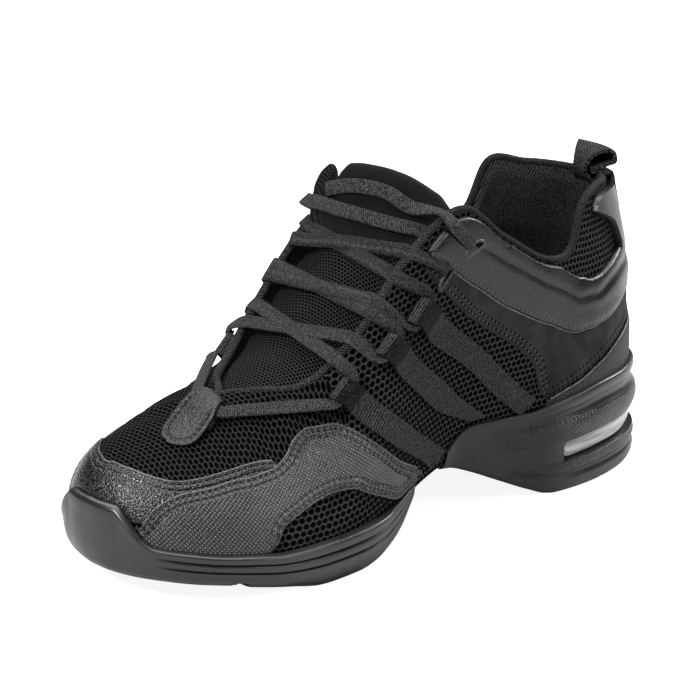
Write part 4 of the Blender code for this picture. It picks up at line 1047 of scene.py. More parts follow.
# %% Rolled lining over the rim, and tape round the throat
RIM_HALF = (1.6, 1.4)
TAPE_HALF = (1.7, 1.5)
RIM_START = 8.3


def tube(path, aside, upward, wide, high, around=14, squareness=1.0):
    """Closed tube round a path in mm, with its two directions and its half sizes along them."""
    angle = np.linspace(0, math.tau, around + 1)[:, None]
    level, rise = (np.sign(wave) * np.abs(wave) ** squareness for wave in (np.cos(angle), np.sin(angle)))
    spread = np.broadcast_to(np.asarray(wide, float), path.shape[:1])
    lift = np.broadcast_to(np.asarray(high, float), path.shape[:1])
    points = path + (level * spread)[..., None] * aside + (rise * lift)[..., None] * upward
    shape = sheet(points, charts=(np.flip(chart_of(points), -1),))
    close_ends(shape)
    return shape


def rim_tube(rings, half):
    """Tube along the upper's top line."""
    path = wall(rings, 1.0, -WALL / 2)
    aside = wall(rings, 1.0, 1.0) - wall(rings, 1.0, 0)
    along = np.gradient(path, axis=0)
    return tube(path, aside, unit(np.cross(aside, along)), *half)


show("collar_lining_roll", rim_tube(np.linspace(RIM_START, RING - RIM_START, 170), RIM_HALF), [rim_cloth])
for word, turn in (("lateral", 1), ("medial", -1)):
    rings = np.linspace(THROAT_FRONT, RIM_START + .1, 60)
    tape = rim_tube(rings if turn > 0 else RING - rings, TAPE_HALF)
    show("throat_tape_" + word, tape, [binding_tape])

# %% [markdown]
# ## Soles
# A split sole is two pieces of rubber with nothing but cloth between them, so that the arch can bend. Seen
# from the side each is one profile that changes its height and its bulge as it goes round: ground edge,
# grooves or ribs, a rounded lip over the upper, and down inside to the bed. The side is one grid of such
# profiles; the ground and the bed are two more grids between the outer and the inner side, welded to the
# first.

# %% Profiles of the soles
FORE_LIP = [(0, .40), (.8, .385), (1.1, .275), (1.35, .17), (1.65, .115), (2.5, .10), (3.4, .088),
            (4.1, .072), (4.9, .075), (5.6, .07), (6.25, .052), (6.8, .03), (8, .025)]
LIP_STEPS = [1, .62, .3, 0]
HEEL_LIP = [(8.5, .02), (9.3, .10), (10.6, .106), (11.1, .132), (12, .155), (14, .14), (16, .15)]
# Ring distance from the toe tip -> height of the ground side
FORE_BOTTOM = [(0, 9.3), (1, 8.8), (1.5, 8.4), (2, 7.7), (2.5, 6.8), (3, 5.9), (3.5, 4.3), (4, 2.7),
               (4.5, 1.2), (5, 0), (6, 0), (6.5, 1.2), (7, 5), (7.334, 9.5), (7.667, 16.5)]
HEEL_BOTTOM = [(8.667, 22), (9, 20.6), (9.333, 17.6), (10, 10.4), (10.667, 3.4), (11, .6), (11.333, 0),
               (16, 0)]
# Side of the forefoot: share of its height, how far it stands out, depth of the groove there
FORE_SIDE = [(0, 0, 0), (.10, 1.0, 0), (.26, 2.2, 0), (.40, 3.2, 0), (.50, 3.6, 0), (.535, 3.7, .9),
             (.57, 3.8, 0), (.73, 4.1, 0), (.765, 4.15, .9), (.80, 4.3, 0), (.90, 4.6, 0), (.96, 4.4, 0),
             (1.0, 3.2, 0)]
FORE_TUCK = [(0, .8), (2, .92), (3, 1), (6, 1), (7.667, .25)]
# Ring distance from the toe tip -> how far the ground edge is drawn in, up to a share of the side
FORE_UNDER = [(0, 3), (4.2, 3), (5.3, 0), (8, 0)]
FORE_UNDER_SHARE = .25
FORE_GROOVE = [(0, 0), (1.5, 0), (2.2, 1), (6, 1), (7, .3), (8, 0)]
# Side of the heel: height, how far it stands out at the back, and along the front wedge
HEEL_SIDE = [(0, 2.6, -2.5), (1.6, 4.3, -1.2), (5.2, 4.8, -.6), (7.0, 3.8, -.4), (9.4, 4.9, 0),
             (12.5, 4.3, .2), (13.1, 3.8, .4), (20.3, 3.8, .8), (20.9, 4.1, .9), (23.8, 5.0, 1),
             (27.6, 4.7, 1.2), (31.6, 2.2, 1.4), (35.5, 3.5, 1.6), (38.0, 3.0, 1.6)]
HEEL_FULL = [(8.5, 0), (9.6, .12), (10.6, .7), (11.4, 1), (16, 1)]
HEEL_REFERENCE = 38.0
WINDOW_ROWS = (6, 7)
WINDOW_DEPTH = 6.5
WINDOW_ENDS = (11.5, 20.5)
WINDOW_SET_IN = 1.2
TREAD_GROOVE_X = 220.0
TREAD_GROOVE_WIDTH = 2.6
TREAD_GROOVE_DEPTH = 3.0
# Widths from its middle at which the groove has run out
TREAD_GROOVE_REACH = 1.4


def lip_points(ring, lip):
    """Points of the sole's inner face: down the upper from the lip, then under its edge."""
    shares = np.array(LIP_STEPS) * lip
    down = wall(np.full(len(shares), ring), shares, SOLE_GAP)
    down[-1] -= UP * SOLE_GAP
    return list(down)


def fore_profile(ring):
    """Side of the forefoot sole at a ring position, from the ground edge to the bed."""
    distance = float(from_toe(ring))
    lip = float(curve(FORE_LIP, distance))
    low = wall_point(ring, 0)
    high = wall_point(ring, lip)
    ground = float(curve(FORE_BOTTOM, distance))
    deep = float(curve(FORE_GROOVE, distance))
    tuck = float(curve(FORE_TUCK, distance))
    under = float(curve(FORE_UNDER, distance))
    points = []
    for part, out, groove in FORE_SIDE:
        base = low + (high - low) * part
        base[2] = ground + (high[2] - ground) * part
        drawn = under * max(0, 1 - part / FORE_UNDER_SHARE) ** 2
        points.append(base + plan_normal(ring) * (out * tuck - groove * deep - drawn))
    return points + lip_points(ring, lip)


def heel_profile(ring):
    """Side of the heel sole at a ring position; its ribs fade into the front wedge."""
    distance = float(from_toe(ring))
    lip = float(curve(HEEL_LIP, distance))
    high = wall_point(ring, lip)
    low = wall_point(ring, 0)
    ground = float(curve(HEEL_BOTTOM, distance))
    full = float(curve(HEEL_FULL, distance))
    in_window = WINDOW_ENDS[0] < ring < WINDOW_ENDS[1]
    points = []
    for row, (height, back, front) in enumerate(HEEL_SIDE):
        part = height / HEEL_REFERENCE
        base = low + (high - low) * part
        base[2] = ground + (high[2] - ground) * part
        out = front + (back - front) * full
        if in_window and row in WINDOW_ROWS:
            out -= WINDOW_DEPTH
        points.append(base + plan_normal(ring) * out)
    return points + lip_points(ring, lip)


def smooth_path(knots, steps):
    """Rows of a smooth path through knots."""
    knots = np.array(knots)
    stride = np.linalg.norm(np.diff(knots[:, :3], axis=0), axis=1) ** .5
    way = np.concatenate([[0], np.cumsum(stride)])
    spans = [np.linspace(start, end, steps, endpoint=False) for start, end in zip(way[:-1], way[1:])]
    fine = np.concatenate(spans + [way[-1:]])
    slope = np.gradient(knots, way, axis=0)
    i = np.clip(np.searchsorted(way, fine, side="right") - 1, 0, len(way) - 2)
    h = (way[i + 1] - way[i])[:, None]
    u = ((fine - way[i]) / h[:, 0])[:, None]
    first = (2 * u ** 3 - 3 * u ** 2 + 1) * knots[i] + (u ** 3 - 2 * u ** 2 + u) * slope[i] * h
    return first + (3 * u ** 2 - 2 * u ** 3) * knots[i + 1] + (u ** 3 - u ** 2) * slope[i + 1] * h


print("rows of a profile:", len(fore_profile(3.0)), len(heel_profile(14.0)))

# %% A sole from its profiles
DECK_COLUMNS = 17


def cross_groove(points):
    """Height in mm that the groove across the tread takes off at some points."""
    beside = np.abs(points[..., 0] - TREAD_GROOVE_X)
    return TREAD_GROOVE_DEPTH * np.clip(TREAD_GROOVE_REACH - beside / TREAD_GROOVE_WIDTH, 0, 1)


def sole_piece(name, rings, profiles, knurl, node):
    """Side, ground, bed and open end of one sole; the rings are symmetric about its tip."""
    count = len(rings)
    tip = count // 2
    points = np.swapaxes(np.array(profiles), 0, 1)
    ground = points[0, :, 2].copy()
    parts = [(points, knurl, 0)]
    across = np.linspace(0, 1, DECK_COLUMNS)[:, None, None]
    sag = FLOOR_SAG * 4 * across * (1 - across) * UP
    for row, drop, paint in ((0, 0, 1), (-1, sag, 0)):
        lateral, medial = points[row, :tip + 1], points[row, ::-1][:tip + 1]
        deck = lateral + (medial - lateral) * across - drop
        if row == 0:
            deck[..., 2] += cross_groove(deck)
        parts.append((deck, 0 * deck[..., 0], paint))
    points[..., 2] = np.maximum(points[..., 2], ground + cross_groove(points))
    whole = bmesh.new()
    for grid, marked, paint in parts:
        add_part(whole, sheet(grid, marks={"knurl": marked}, paints=np.full(grid.shape[:2], paint)))
    bmesh.ops.remove_doubles(whole, verts=whole.verts, dist=WELD)
    rims = [edge for edge in whole.edges if edge.is_boundary]
    lines = [parts[k][0][:, 0] for k in (1, 2)]

    def lies_on(edge, line):
        return all(np.linalg.norm(line - np.array(vert.co), axis=1).min() < 2 * WELD for vert in edge.verts)

    levels = [edge for edge in rims if any(lies_on(edge, line) for line in lines)]
    bmesh.ops.bridge_loops(whole, edges=levels)
    close_ends(whole)
    ends = [face for face in whole.faces if len(face.verts) > 4]
    bmesh.ops.triangulate(whole, faces=ends)
    return show(name, whole, [sole_rubber, tread_rubber], [node], sharp=38)


# %% Forefoot sole with its toe bumper
FORE_REAR = 7.667
SMOOTH_STEPS = 4
half = np.linspace(FORE_REAR, 0, 93)[:-1]
fore_rings = np.concatenate([half, [0], RING - half[::-1]])
fore_profiles = [smooth_path(fore_profile(ring % RING), SMOOTH_STEPS) for ring in fore_rings]
plain = np.zeros((len(fore_profiles[0]), len(fore_rings)))
sole_piece("forefoot_rubber", fore_rings, fore_profiles, plain, "forefoot_sole")

# %% Heel sole with its knurled ribs
HEEL_FRONT = 8.667
KNURL_STARTS = (9.7, 10.3)
# height in the heel's own scale -> how strong the knurl is
KNURL = [(0, 0), (8.6, 0), (9.4, 1), (12.2, 1), (12.6, 0), (20.9, 0), (21.6, 1), (28.2, 1), (29.4, 0),
         (38, 0)]
SLOT_ROWS = (5, 8)
# Lines of the slot on the way from one row to the next, and the rings that its end wall takes
SLOT_PARTS = (.12, .5, .88)
SLOT_END = .06


def heel_rows(ring):
    """Heel profile with soft ribs and a crisp slot for the window."""
    rows = np.array(heel_profile(ring))
    below = smooth_path(rows[:SLOT_ROWS[0] + 1], SMOOTH_STEPS)
    slot = [rows[row] + (rows[row + 1] - rows[row]) * part
            for row in range(*SLOT_ROWS) for part in SLOT_PARTS]
    above = smooth_path(rows[SLOT_ROWS[1]:], SMOOTH_STEPS)
    return np.concatenate([below, slot, above])


half = np.linspace(HEEL_FRONT, HEEL, 91)[:-1]
half = np.unique(np.concatenate([half, np.array(WINDOW_ENDS[:1]) + (0, SLOT_END)]))
heel_rings = np.concatenate([half, [HEEL], RING - half[::-1]])
heel_profiles = [heel_rows(ring) for ring in heel_rings]
starts = curve([(8, 0), (KNURL_STARTS[0], 0), (KNURL_STARTS[1], 1), (16, 1)], from_toe(heel_rings))
strong = curve(KNURL, np.array(heel_profiles)[..., 2].T) * starts
sole_piece("heel_rubber", heel_rings, heel_profiles, strong, "heel_sole")

# %% Clear window between the ribs
WINDOW_CLEAR = .04
WINDOW_ROUND = .22
BULGE = .9
# Lines up the window, half the share of the slot that they fill, and how far its back stays from the slot
WINDOW_LINES = 13
WINDOW_FILL = .47
WINDOW_BACK = .6
window_end = WINDOW_ENDS[0] + WINDOW_CLEAR
half = window_end + WINDOW_ROUND * np.linspace(0, 1, 9) ** 2
half = np.concatenate([half, np.linspace(half[-1], HEEL, 46)[1:-1]])
around = np.concatenate([half, [HEEL], RING - half[::-1]])
lines = np.linspace(-1, 1, WINDOW_LINES)[:, None]
bars = []
for ring in around:
    column = heel_profile(ring)
    low, high = (column[row] for row in WINDOW_ROWS)
    to_end = np.clip((min(ring, RING - ring) - window_end) / WINDOW_ROUND, .02, 1)
    part = .5 + WINDOW_FILL * lines * math.sqrt(1 - (1 - to_end) ** 2)
    out = WINDOW_DEPTH - WINDOW_SET_IN - BULGE + BULGE * (1 - lines ** 4)
    bars.append(low + (high - low) * part + plan_normal(ring) * out)
bars = np.swapaxes(np.array(bars), 0, 1)
inward = np.array([plan_normal(ring) for ring in around]) * (WINDOW_DEPTH - WINDOW_SET_IN - WINDOW_BACK)
show("heel_window_clear", sheet(bars, bars - inward), [window_plastic], ["heel_window"])

# %% [markdown]
# ## Insole
# A cloth-covered sheet lies on the two soles and the arch strip. It shows only from above, through the
# collar.

# %% Insole
INSOLE_INSET = 4.0
INSOLE_THICK = 3.0
INSOLE_LIFT = [(0, 0), (6.6, 0), (7.2, 2.7), (9.15, 2.7), (9.8, 0), (16, 0)]
stations = np.linspace(.2, 15.8, 110)
across = np.linspace(0, 1, 25)[:, None]
lateral = wall_point(stations, 0) - plan_normal(stations) * INSOLE_INSET
medial = wall_point(RING - stations, 0) - plan_normal(RING - stations) * INSOLE_INSET
plate = lateral + (medial - lateral) * across[..., None]
plate[..., 2] += curve(INSOLE_LIFT, stations) - FLOOR_SAG * 4 * across * (1 - across)
crown = np.sqrt(np.clip(across * (1 - across) * 40, 0, 1))
cover = sheet(plate + UP * INSOLE_THICK * crown[..., None], plate)
show("insole_cover", cover, [insole_cloth], ["insole"])

# %% [markdown]
# ## Tongue
# The tongue is a padded flap sewn in under the vamp. Its lower part and its inner edge are fine mesh, and a
# nubuck panel with a rounded top stands over the collar; a notch parts the panel from a small lobe of mesh.
# The flap is a grid between its two edges, and the height of its top changes across it, which cuts the
# notch.

# %% Tongue
TONGUE = np.array([
    (3.6, .80, 206, 57.0, 2.4),
    (4.3, .82, 198, 60.3, 2.8),
    (5.2, .86, 188, 64.5, 3.2),
    (6.0, .88, 178, 69, 3.6),
    (6.72, .90, 165.5, 75.5, 4.0),
    (7.4, .91, 153.5, 88.5, 4.6),
    (8.1, .92, 142.5, 101.5, 5.4),
])
# Free top of the tongue: ring, lateral x, y, z, centre x, y, z, medial x, y, z, thickness
TONGUE_TOP = np.array([
    (8.7, 116, 24.2, 112.5, 134.5, -1, 114.5, 135, -24, 112, 6.2),
    (9.2, 108.5, 22.8, 118, 127.5, -1, 126.5, 133, -24.5, 121.5, 7.0),
    (9.7, 103.5, 21, 121.5, 124, -1, 136.5, 131, -24, 130, 5.5),
])
TONGUE_FRONT = 3.6
TONGUE_END = 9.7
TONGUE_TAPER = .45
TONGUE_STEP = .05
TONGUE_TUCK = WALL + 1.0


def tongue_rows():
    """Rings, lateral edges, centres, medial edges and thicknesses of the tongue's rows."""
    lateral = wall(TONGUE[:, 0], TONGUE[:, 1], -TONGUE_TUCK)
    medial = wall(RING - TONGUE[:, 0], TONGUE[:, 1], -TONGUE_TUCK)
    centre = np.stack([TONGUE[:, 2], 0 * TONGUE[:, 2] - 1, TONGUE[:, 3]], -1)
    rings = np.concatenate([TONGUE[:, 0], TONGUE_TOP[:, 0]])
    lateral = np.concatenate([lateral, TONGUE_TOP[:, 1:4]])
    centre = np.concatenate([centre, TONGUE_TOP[:, 4:7]])
    medial = np.concatenate([medial, TONGUE_TOP[:, 7:10]])
    return rings, lateral, centre, medial, np.concatenate([TONGUE[:, 4], TONGUE_TOP[:, 10]])


TONGUE_ROWS = tongue_rows()


def tongue_point(ring, side):
    """Point of the tongue's outer face; side runs 1 lateral, 0 centre, -1 medial."""
    rings, lateral, centre, medial, _ = TONGUE_ROWS
    tables = [np.column_stack([rings, part]) for part in (lateral, centre, medial)]
    left, mid, right = (np.stack([curve(table, ring, k) for k in (1, 2, 3)], -1) for table in tables)
    handle = 2 * mid - (left + right) / 2
    u = ((1 - np.asarray(side, float)) / 2)[..., None]
    return (1 - u) ** 2 * left + 2 * u * (1 - u) * handle + u ** 2 * right


def tongue(ring, side, out=0.0):
    """Point at a distance from the tongue's outer face."""
    ring, side, out = np.broadcast_arrays(*(np.asarray(part, float) for part in (ring, side, out)))
    above = tongue_point(np.minimum(ring + TONGUE_STEP, TONGUE_END), side)
    along = above - tongue_point(np.maximum(ring - TONGUE_STEP, TONGUE_FRONT), side)
    left, right = np.minimum(side + TONGUE_STEP, 1), np.maximum(side - TONGUE_STEP, -1)
    cross = tongue_point(ring, left) - tongue_point(ring, right)
    return tongue_point(ring, side) + unit(np.cross(cross, along)) * out[..., None]


# side, -1 medial to 1 lateral -> ring where the tongue ends
TONGUE_EDGE = [(-1, 9.35), (-.92, 9.62), (-.8, 9.68), (-.68, 9.6), (-.61, 9.3), (-.57, 9.3), (-.5, 9.5),
               (-.38, 9.6), (0, 9.62), (.3, 9.66), (.6, 9.7), (.85, 9.7), (1, 9.5)]
PANEL_FROM = 8.28
PANEL_SIDE = -.59
EDGE_SPAN = .07
sides = np.sin(np.linspace(1, -1, 97) * math.pi / 2) * .25 + np.linspace(1, -1, 97) * .75
rise = np.linspace(0, 1, 105)[:, None]
ring_grid = TONGUE_FRONT + (curve(TONGUE_EDGE, sides) - TONGUE_FRONT) * rise
side_grid = np.broadcast_to(sides, ring_grid.shape)
thick = curve(np.column_stack([TONGUE_ROWS[0], TONGUE_ROWS[4]]), ring_grid)
thick = thick * (1 - TONGUE_TAPER * np.abs(side_grid) ** 3)
to_edge = np.minimum((1 - np.abs(side_grid)) / EDGE_SPAN, (1 - rise) * 16)
round_edge = np.sqrt(np.clip(1 - (1 - np.clip(to_edge, 0, 1)) ** 2, 0, 1))
front = tongue(ring_grid, side_grid, -thick / 2 + thick / 2 * round_edge)
rear = tongue(ring_grid, side_grid, -thick / 2 - thick / 2 * round_edge - .15)
panel = (ring_grid[:-1, :-1] > PANEL_FROM) & (side_grid[:-1, :-1] > PANEL_SIDE)
flap = sheet(front, rear, paints=panel.astype(int), back=2)
flap = show("tongue_flap", flap, [tongue_mesh, shaded_tongue_nubuck, lining_cloth], ["tongue"])

# %% [markdown]
# ## Webbing loops
# Three bands of ribbed webbing a side run from the arch to the throat, and each is folded back on itself
# into a loop for the lace. A band is a path seen from its edge, forward, round the fold and back, spread
# over its width. The leather tab on the vamp and the pull loop at the heel are made the same way.

# %% Folded bands
# Webbing straps: way down, front edge ring and share, rear edge ring and share
STRAPS = [
    [(0, 6.08, .812, 6.43, .881), (.33, 6.43, .544, 6.85, .575),
     (.67, 7.12, .269, 7.70, .250), (1, 8.18, .03, 8.62, .055)],
    [(0, 7.00, .850, 7.33, .858), (.33, 7.52, .531, 7.98, .525),
     (.67, 8.40, .238, 8.90, .256), (1, 9.22, .125, 9.62, .13)],
    [(0, 7.73, .788, 8.09, .815), (.33, 8.48, .488, 8.85, .531),
     (.67, 9.43, .294, 9.75, .381), (1, 10.38, .105, 10.72, .18)],
]
STRAP_LENGTHS = (66.0, 67.0, 77.0)
# Folded end of a strap or tab: way from the fold, height over the wall
FOLD = [(10.3, 1.1), (5.3, 1.1), (2.3, 1.35), (.8, 2.3), (.6, 3.5), (1.7, 4.8), (4.3, 5.4), (7.8, 4.9),
        (11.8, 3.4), (15.3, 2.0), (18.3, 1.3), (21.3, 1.1)]
STRAP_TAIL = [.40, .52, .67, .83, 1.0]
STRAP_THICK = 1.0
BAND_STEPS = 4
EDGE_THIN = .3
TAB_FOLD_RING = 3.93
TAB_RING_PER_MM = 1 / 20.5


def strap_point(strap, side, way, across, height):
    """Point over a strap: way 0 at the fold to 1 at its foot, across 0 at the front edge to 1 at the rear."""
    table = STRAPS[strap]
    ring = curve(table, way, 1) * (1 - across) + curve(table, way, 3) * across
    share = curve(table, way, 2) * (1 - across) + curve(table, way, 4) * across
    return wall(ring if side > 0 else RING - ring, share, height)


def tab_point(way, aside, height):
    """Point over the vamp tab: way in mm from its fold, aside in mm from the ridge, lateral positive."""
    ring = TAB_FOLD_RING - np.asarray(way) * TAB_RING_PER_MM
    ring = np.where(np.asarray(aside) >= 0, ring, RING - ring)
    rate = np.linalg.norm(wall_point(ring, 1.0) - wall_point(ring, .98), axis=-1) / .02
    return wall(ring, 1 - np.abs(aside) / rate, height)


def folded_band(path, place, across):
    """Band along a path of way and height, spread across by a placing rule, with thinner edges."""
    path = smooth_path(path, BAND_STEPS)
    step = np.gradient(path, axis=0)
    normal = unit(np.column_stack([-step[:, 1], step[:, 0]]))
    crown = (1 - EDGE_THIN * np.abs(2 * (across - across[0]) / (across[-1] - across[0]) - 1) ** 4) / 2
    faces = []
    for turn in (1, -1):
        rows = path[:, None] + normal[:, None] * (STRAP_THICK * turn * crown)[None, :, None]
        faces.append(np.array([place(row[:, 0], row[:, 1], across) for row in rows]))
    outward = np.concatenate([[0], np.cumsum(np.linalg.norm(np.diff(path, axis=0), axis=1))])
    fold = outward[np.argmin(path[:, 0])]
    marks = {"way": np.repeat(np.abs(outward - fold)[:, None], len(across), 1)}
    return faces, marks


for strap, length in enumerate(STRAP_LENGTHS):
    path = FOLD + [(share * length, FOLD[-1][1]) for share in STRAP_TAIL]
    for word, side in (("lateral", 1), ("medial", -1)):

        def place(way, height, across, strap=strap, side=side, length=length):
            return strap_point(strap, side, way / length, across, height)

        (front, rear), marks = folded_band(path, place, np.linspace(0, 1, 13))
        name = f"web_loop_{word}_{strap + 1}"
        show("strap_" + name, sheet(front, rear, marks=marks), [strap_webbing], [name])

# %% Vamp tab and heel pull loop
# Vamp tab: way from its fold, half width, how far its middle lies to the lateral side of the ridge
TAB = [(-1, 4.6, 3.0), (4, 5.5, 3.8), (9, 6.9, 4.8), (15, 7.2, 5.6), (20, 6.2, 6.0), (24, 4.0, 6.2),
       (26.5, 1.9, 6.3)]
TAB_TAIL = [23, 25, 26.3]
# Heel pull loop: share of the wall, offset from it, extra height
PULL = [(.84, 3.2, 0), (.92, 3.3, 0), (1, 3.8, 0), (1, 4.8, 4.6), (1, 3.8, 8.4), (1, -.9, 9.9),
        (1, -5.6, 8.4), (1, -7.6, 4.6), (1, -5.2, 0), (.95, -3.4, 0), (.88, -3.2, 0)]
PULL_RINGS = .70
PULL_THICK = 1.3


def place_tab(way, height, across):
    """Place on the tab; across runs -1 to 1."""
    return tab_point(way, curve(TAB, way, 2) + across * curve(TAB, way), height)


path = FOLD + [(way, FOLD[-1][1]) for way in TAB_TAIL]
(front, rear), marks = folded_band(path, place_tab, np.linspace(-1, 1, 33))
rim = np.concatenate([front[-30:, 0], front[-1, 1:-1], front[-30:, -1][::-1]])
apart, run = nearest_line(front, [rim])
marks.update(seam=apart, run=run)
show("vamp_tab_leather", sheet(front, rear, marks=marks), [tab_leather], ["vamp_loop"])
rows = smooth_path(PULL, BAND_STEPS)
rings = HEEL + np.linspace(-1, 1, 25) * PULL_RINGS
loop = wall(rings, rows[:, :1], rows[:, 1:2]) + UP * rows[:, 2, None, None]
normal = unit(np.cross(np.gradient(loop, axis=0), np.gradient(loop, axis=1))) * PULL_THICK / 2
show("heel_pull_webbing", sheet(loop + normal, loop - normal), [loop_webbing], ["pull_loop"])

# %% [markdown]
# ## Lace
# One flat woven lace starts in the vamp tab, runs up through the loops and crosses the tongue at each pair.
# Pulled tight, a strand runs straight from loop to loop and only bends over what is in its way. So each
# strand starts as a straight line: rays find the shoe under it, and the line is lifted just enough to clear
# it without a sag. A smooth path through all the strands carries an oval section with its flat side to the
# foot.

# %% Strands pulled tight over the shoe
LACE_HALF = 2.7
EYE_HALF = 2.3
EYE_FADE = 4.0
LACE_CLEAR = 1.1
CROSSING_LIFT = 1.5
CROSSING_HALF = 6.0
STRAND_RAYS = 61
STRAND_KNOTS = 11
RAY_FROM = 40.0
in_the_way = ("tongue_flap", "upper_shell", "throat_tape_lateral", "throat_tape_medial", "collar_lining_roll")
points, faces = [], []
for word in in_the_way:
    mesh = bpy.data.objects[word].data
    faces += [[len(points) + i for i in face.vertices] for face in mesh.polygons]
    points += [vert.co.copy() for vert in mesh.vertices]
shoe_tree = BVHTree.FromPolygons(points, faces)


def knot(place, *where, half=LACE_HALF):
    """Knot of a lace: its point, the outward direction there and half its width."""
    point = place(*where)
    outward = place(*where[:-1], where[-1] + 1) - point
    return np.array([*point, *outward, half])


def strand(start, end, up, bump=0.0):
    """Knots of a strand pulled tight from start to end; up points away from the foot."""
    part = np.linspace(0, 1, STRAND_RAYS)
    length = np.linalg.norm(end - start)
    height = np.full(STRAND_RAYS, -RAY_FROM)
    for i, point in enumerate(start + (end - start) * part[:, None]):
        away = shoe_tree.ray_cast(Vector(to_metres(point + up * RAY_FROM)), Vector(-up))[3]
        if away is not None:
            height[i] = RAY_FROM - away / MM + LACE_CLEAR
    height += bump * np.exp(-((part - .5) * length / CROSSING_HALF) ** 2)
    height[0] = height[-1] = 0
    taut = [0]
    for i in range(1, STRAND_RAYS):
        while len(taut) > 1 and ((height[i] - height[taut[-2]]) / (i - taut[-2])
                                 >= (height[taut[-1]] - height[taut[-2]]) / (taut[-1] - taut[-2])):
            taut.pop()
        taut.append(i)
    at = np.linspace(0, 1, STRAND_KNOTS)
    raised = np.interp(at, part[taut], height[taut])
    half = LACE_HALF - (LACE_HALF - EYE_HALF) * np.exp(-(np.minimum(at, 1 - at) * length / EYE_FADE) ** 2)
    path = start + (end - start) * at[:, None] + up * raised[:, None]
    return [np.array([*point, *up, wide]) for point, wide in zip(path, half)]


print("faces in the way of the lace:", len(faces))

# %% Route of the lace
EYE_DOWN = 4.0
EYE_HEIGHT = 3.3
EYE_ACROSS = (.25, .75)
MOUTHS = (-.12, 1.12)
MEDIAL_BULGE = 2.4
# Middle of the tab's fold and its two sides, mm from the ridge
TAB_MIDDLE = 3.8
TAB_SIDES = {1: 10.2, -1: -2.8}
VAMP_PLACE = (4.9, .92)
# Ring position of the tongue under each crossing, which gives its strands their way up
CROSSING_RINGS = (6.75, 7.6, 8.3)
# Ends of the long lace on the tongue and in its slot: ring, side or share, height
MEDIAL_END = (8.54, -.92, 1.3)
# Turn round the tongue's medial edge: mm from the edge, then the outward direction
EDGE_TURN = [((0, -2.5, .6), (.3, -.6, .75)), ((-2, -4.2, -.6), (0, -1, .1)), ((-6, -3, -3), (-.4, -.9, 0))]
SLOT_WAY = [(8.55, .838, 2.3), (8.63, .808, 1.8), (8.68, .788, .3), (8.71, .776, -1.4)]
# Strands over the top of the tongue: ring, side, lift; then over the rim and down to the top slot
TOP_STRAND_1 = [(8.64, .99, -.4), (8.68, .9, .8), (8.72, .78, 1.2), (8.76, .5, 1.2), (8.82, .1, 1.2),
                (8.87, -.3, 1.2), (8.95, -.7, 1.2), (9.0, -.95, 1.2)]
TOP_STRAND_2 = [(9.14, -.66, -1.0), (9.15, -.6, .9), (9.2, -.3, 1.2), (9.22, 0, 1.2), (9.2, .3, 1.3),
                (9.05, .62, 2.5)]
TOP_RIM = (8.70, 1, 2.4)
TOP_SLOT_WAY = [(8.77, .966, 3.4), (8.87, .926, 3.6), (8.98, .891, 3.5), (9.10, .862, 2.9), (9.17, .847, 1.1),
                (9.20, .838, -.8)]


def crest(ring, over, lift):
    """Point over the rim of the throat, in line with the wall."""
    ring = ring if over > 0 else RING - ring
    rise = wall(ring, 1.0, -WALL / 2) - wall(ring, .97, -WALL / 2)
    return wall(ring, 1.0, -WALL / 2) + unit(rise) * lift


def turn_round(ring):
    """Knots of a strand that goes round the medial edge of the tongue and down behind it."""
    edge = tongue(ring, -1, 0)
    return [np.array([*(edge + shift), *outward, LACE_HALF]) for shift, outward in EDGE_TURN]


def lace_half(side):
    """Knots of the long lace from the vamp tab up one side and over to the top."""
    def mouth(strap, over, end):
        height = EYE_HEIGHT + (0 if over > 0 else MEDIAL_BULGE)
        return strap_point(strap, over, EYE_DOWN / STRAP_LENGTHS[strap], MOUTHS[end], height)

    def eye(strap, over):
        where = (strap, over, EYE_DOWN / STRAP_LENGTHS[strap])
        return [knot(strap_point, *where, across, EYE_HEIGHT, half=EYE_HALF) for across in EYE_ACROSS]

    def cross(number, start, end, bump):
        up = tongue(CROSSING_RINGS[number], 0, 1) - tongue(CROSSING_RINGS[number], 0, 0)
        return strand(start, end, up, bump)

    bumps = (0, CROSSING_LIFT) if side > 0 else (CROSSING_LIFT, 0)
    ring = VAMP_PLACE[0] if side > 0 else RING - VAMP_PLACE[0]
    up = wall(ring, VAMP_PLACE[1], 1) - wall(ring, VAMP_PLACE[1], 0)
    tab_side = tab_point(EYE_DOWN, TAB_SIDES[side], EYE_HEIGHT)
    knots = [knot(tab_point, EYE_DOWN, (TAB_MIDDLE + TAB_SIDES[side]) / 2, EYE_HEIGHT, half=EYE_HALF)]
    knots += strand(tab_side, mouth(0, side, 0), up) + eye(0, side)
    for number, over, bump in ((0, side, bumps[0]), (1, -side, bumps[1])):
        knots += cross(number, mouth(number, over, 1), mouth(number + 1, -over, 0), bump)
        knots += eye(number + 1, -over)
    if side > 0:
        return knots + cross(2, mouth(2, 1, 1), tongue(*MEDIAL_END), bumps[0]) + turn_round(MEDIAL_END[0])
    knots += cross(2, mouth(2, -1, 1), wall(*SLOT_WAY[0]), bumps[0])
    return knots + [knot(wall, *row) for row in SLOT_WAY[1:]]


print("knots of one half of the lace:", len(lace_half(1)))

# %% Flat lace along its route
LACE_THICK = 1.3
LACE_STEPS = 5
LACE_ROUND = 16
LACE_SQUARE = .62


def lace(name, knots, nodes_replaced):
    """Flat oval lace through knots, its flat side to the foot."""
    rows = smooth_path(knots, LACE_STEPS)
    path = rows[:, :3]
    along = unit(np.gradient(path, axis=0))
    outward = unit(rows[:, 3:6] - along * (rows[:, 3:6] * along).sum(1, keepdims=True))
    shape = tube(path, np.cross(along, outward), outward, rows[:, 6], LACE_THICK / 2, LACE_ROUND, LACE_SQUARE)
    length = running(path[None], 1)[0, -1]
    print(name, "length in mm:", round(length))
    return show(name, shape, [lace_weave], nodes_replaced)


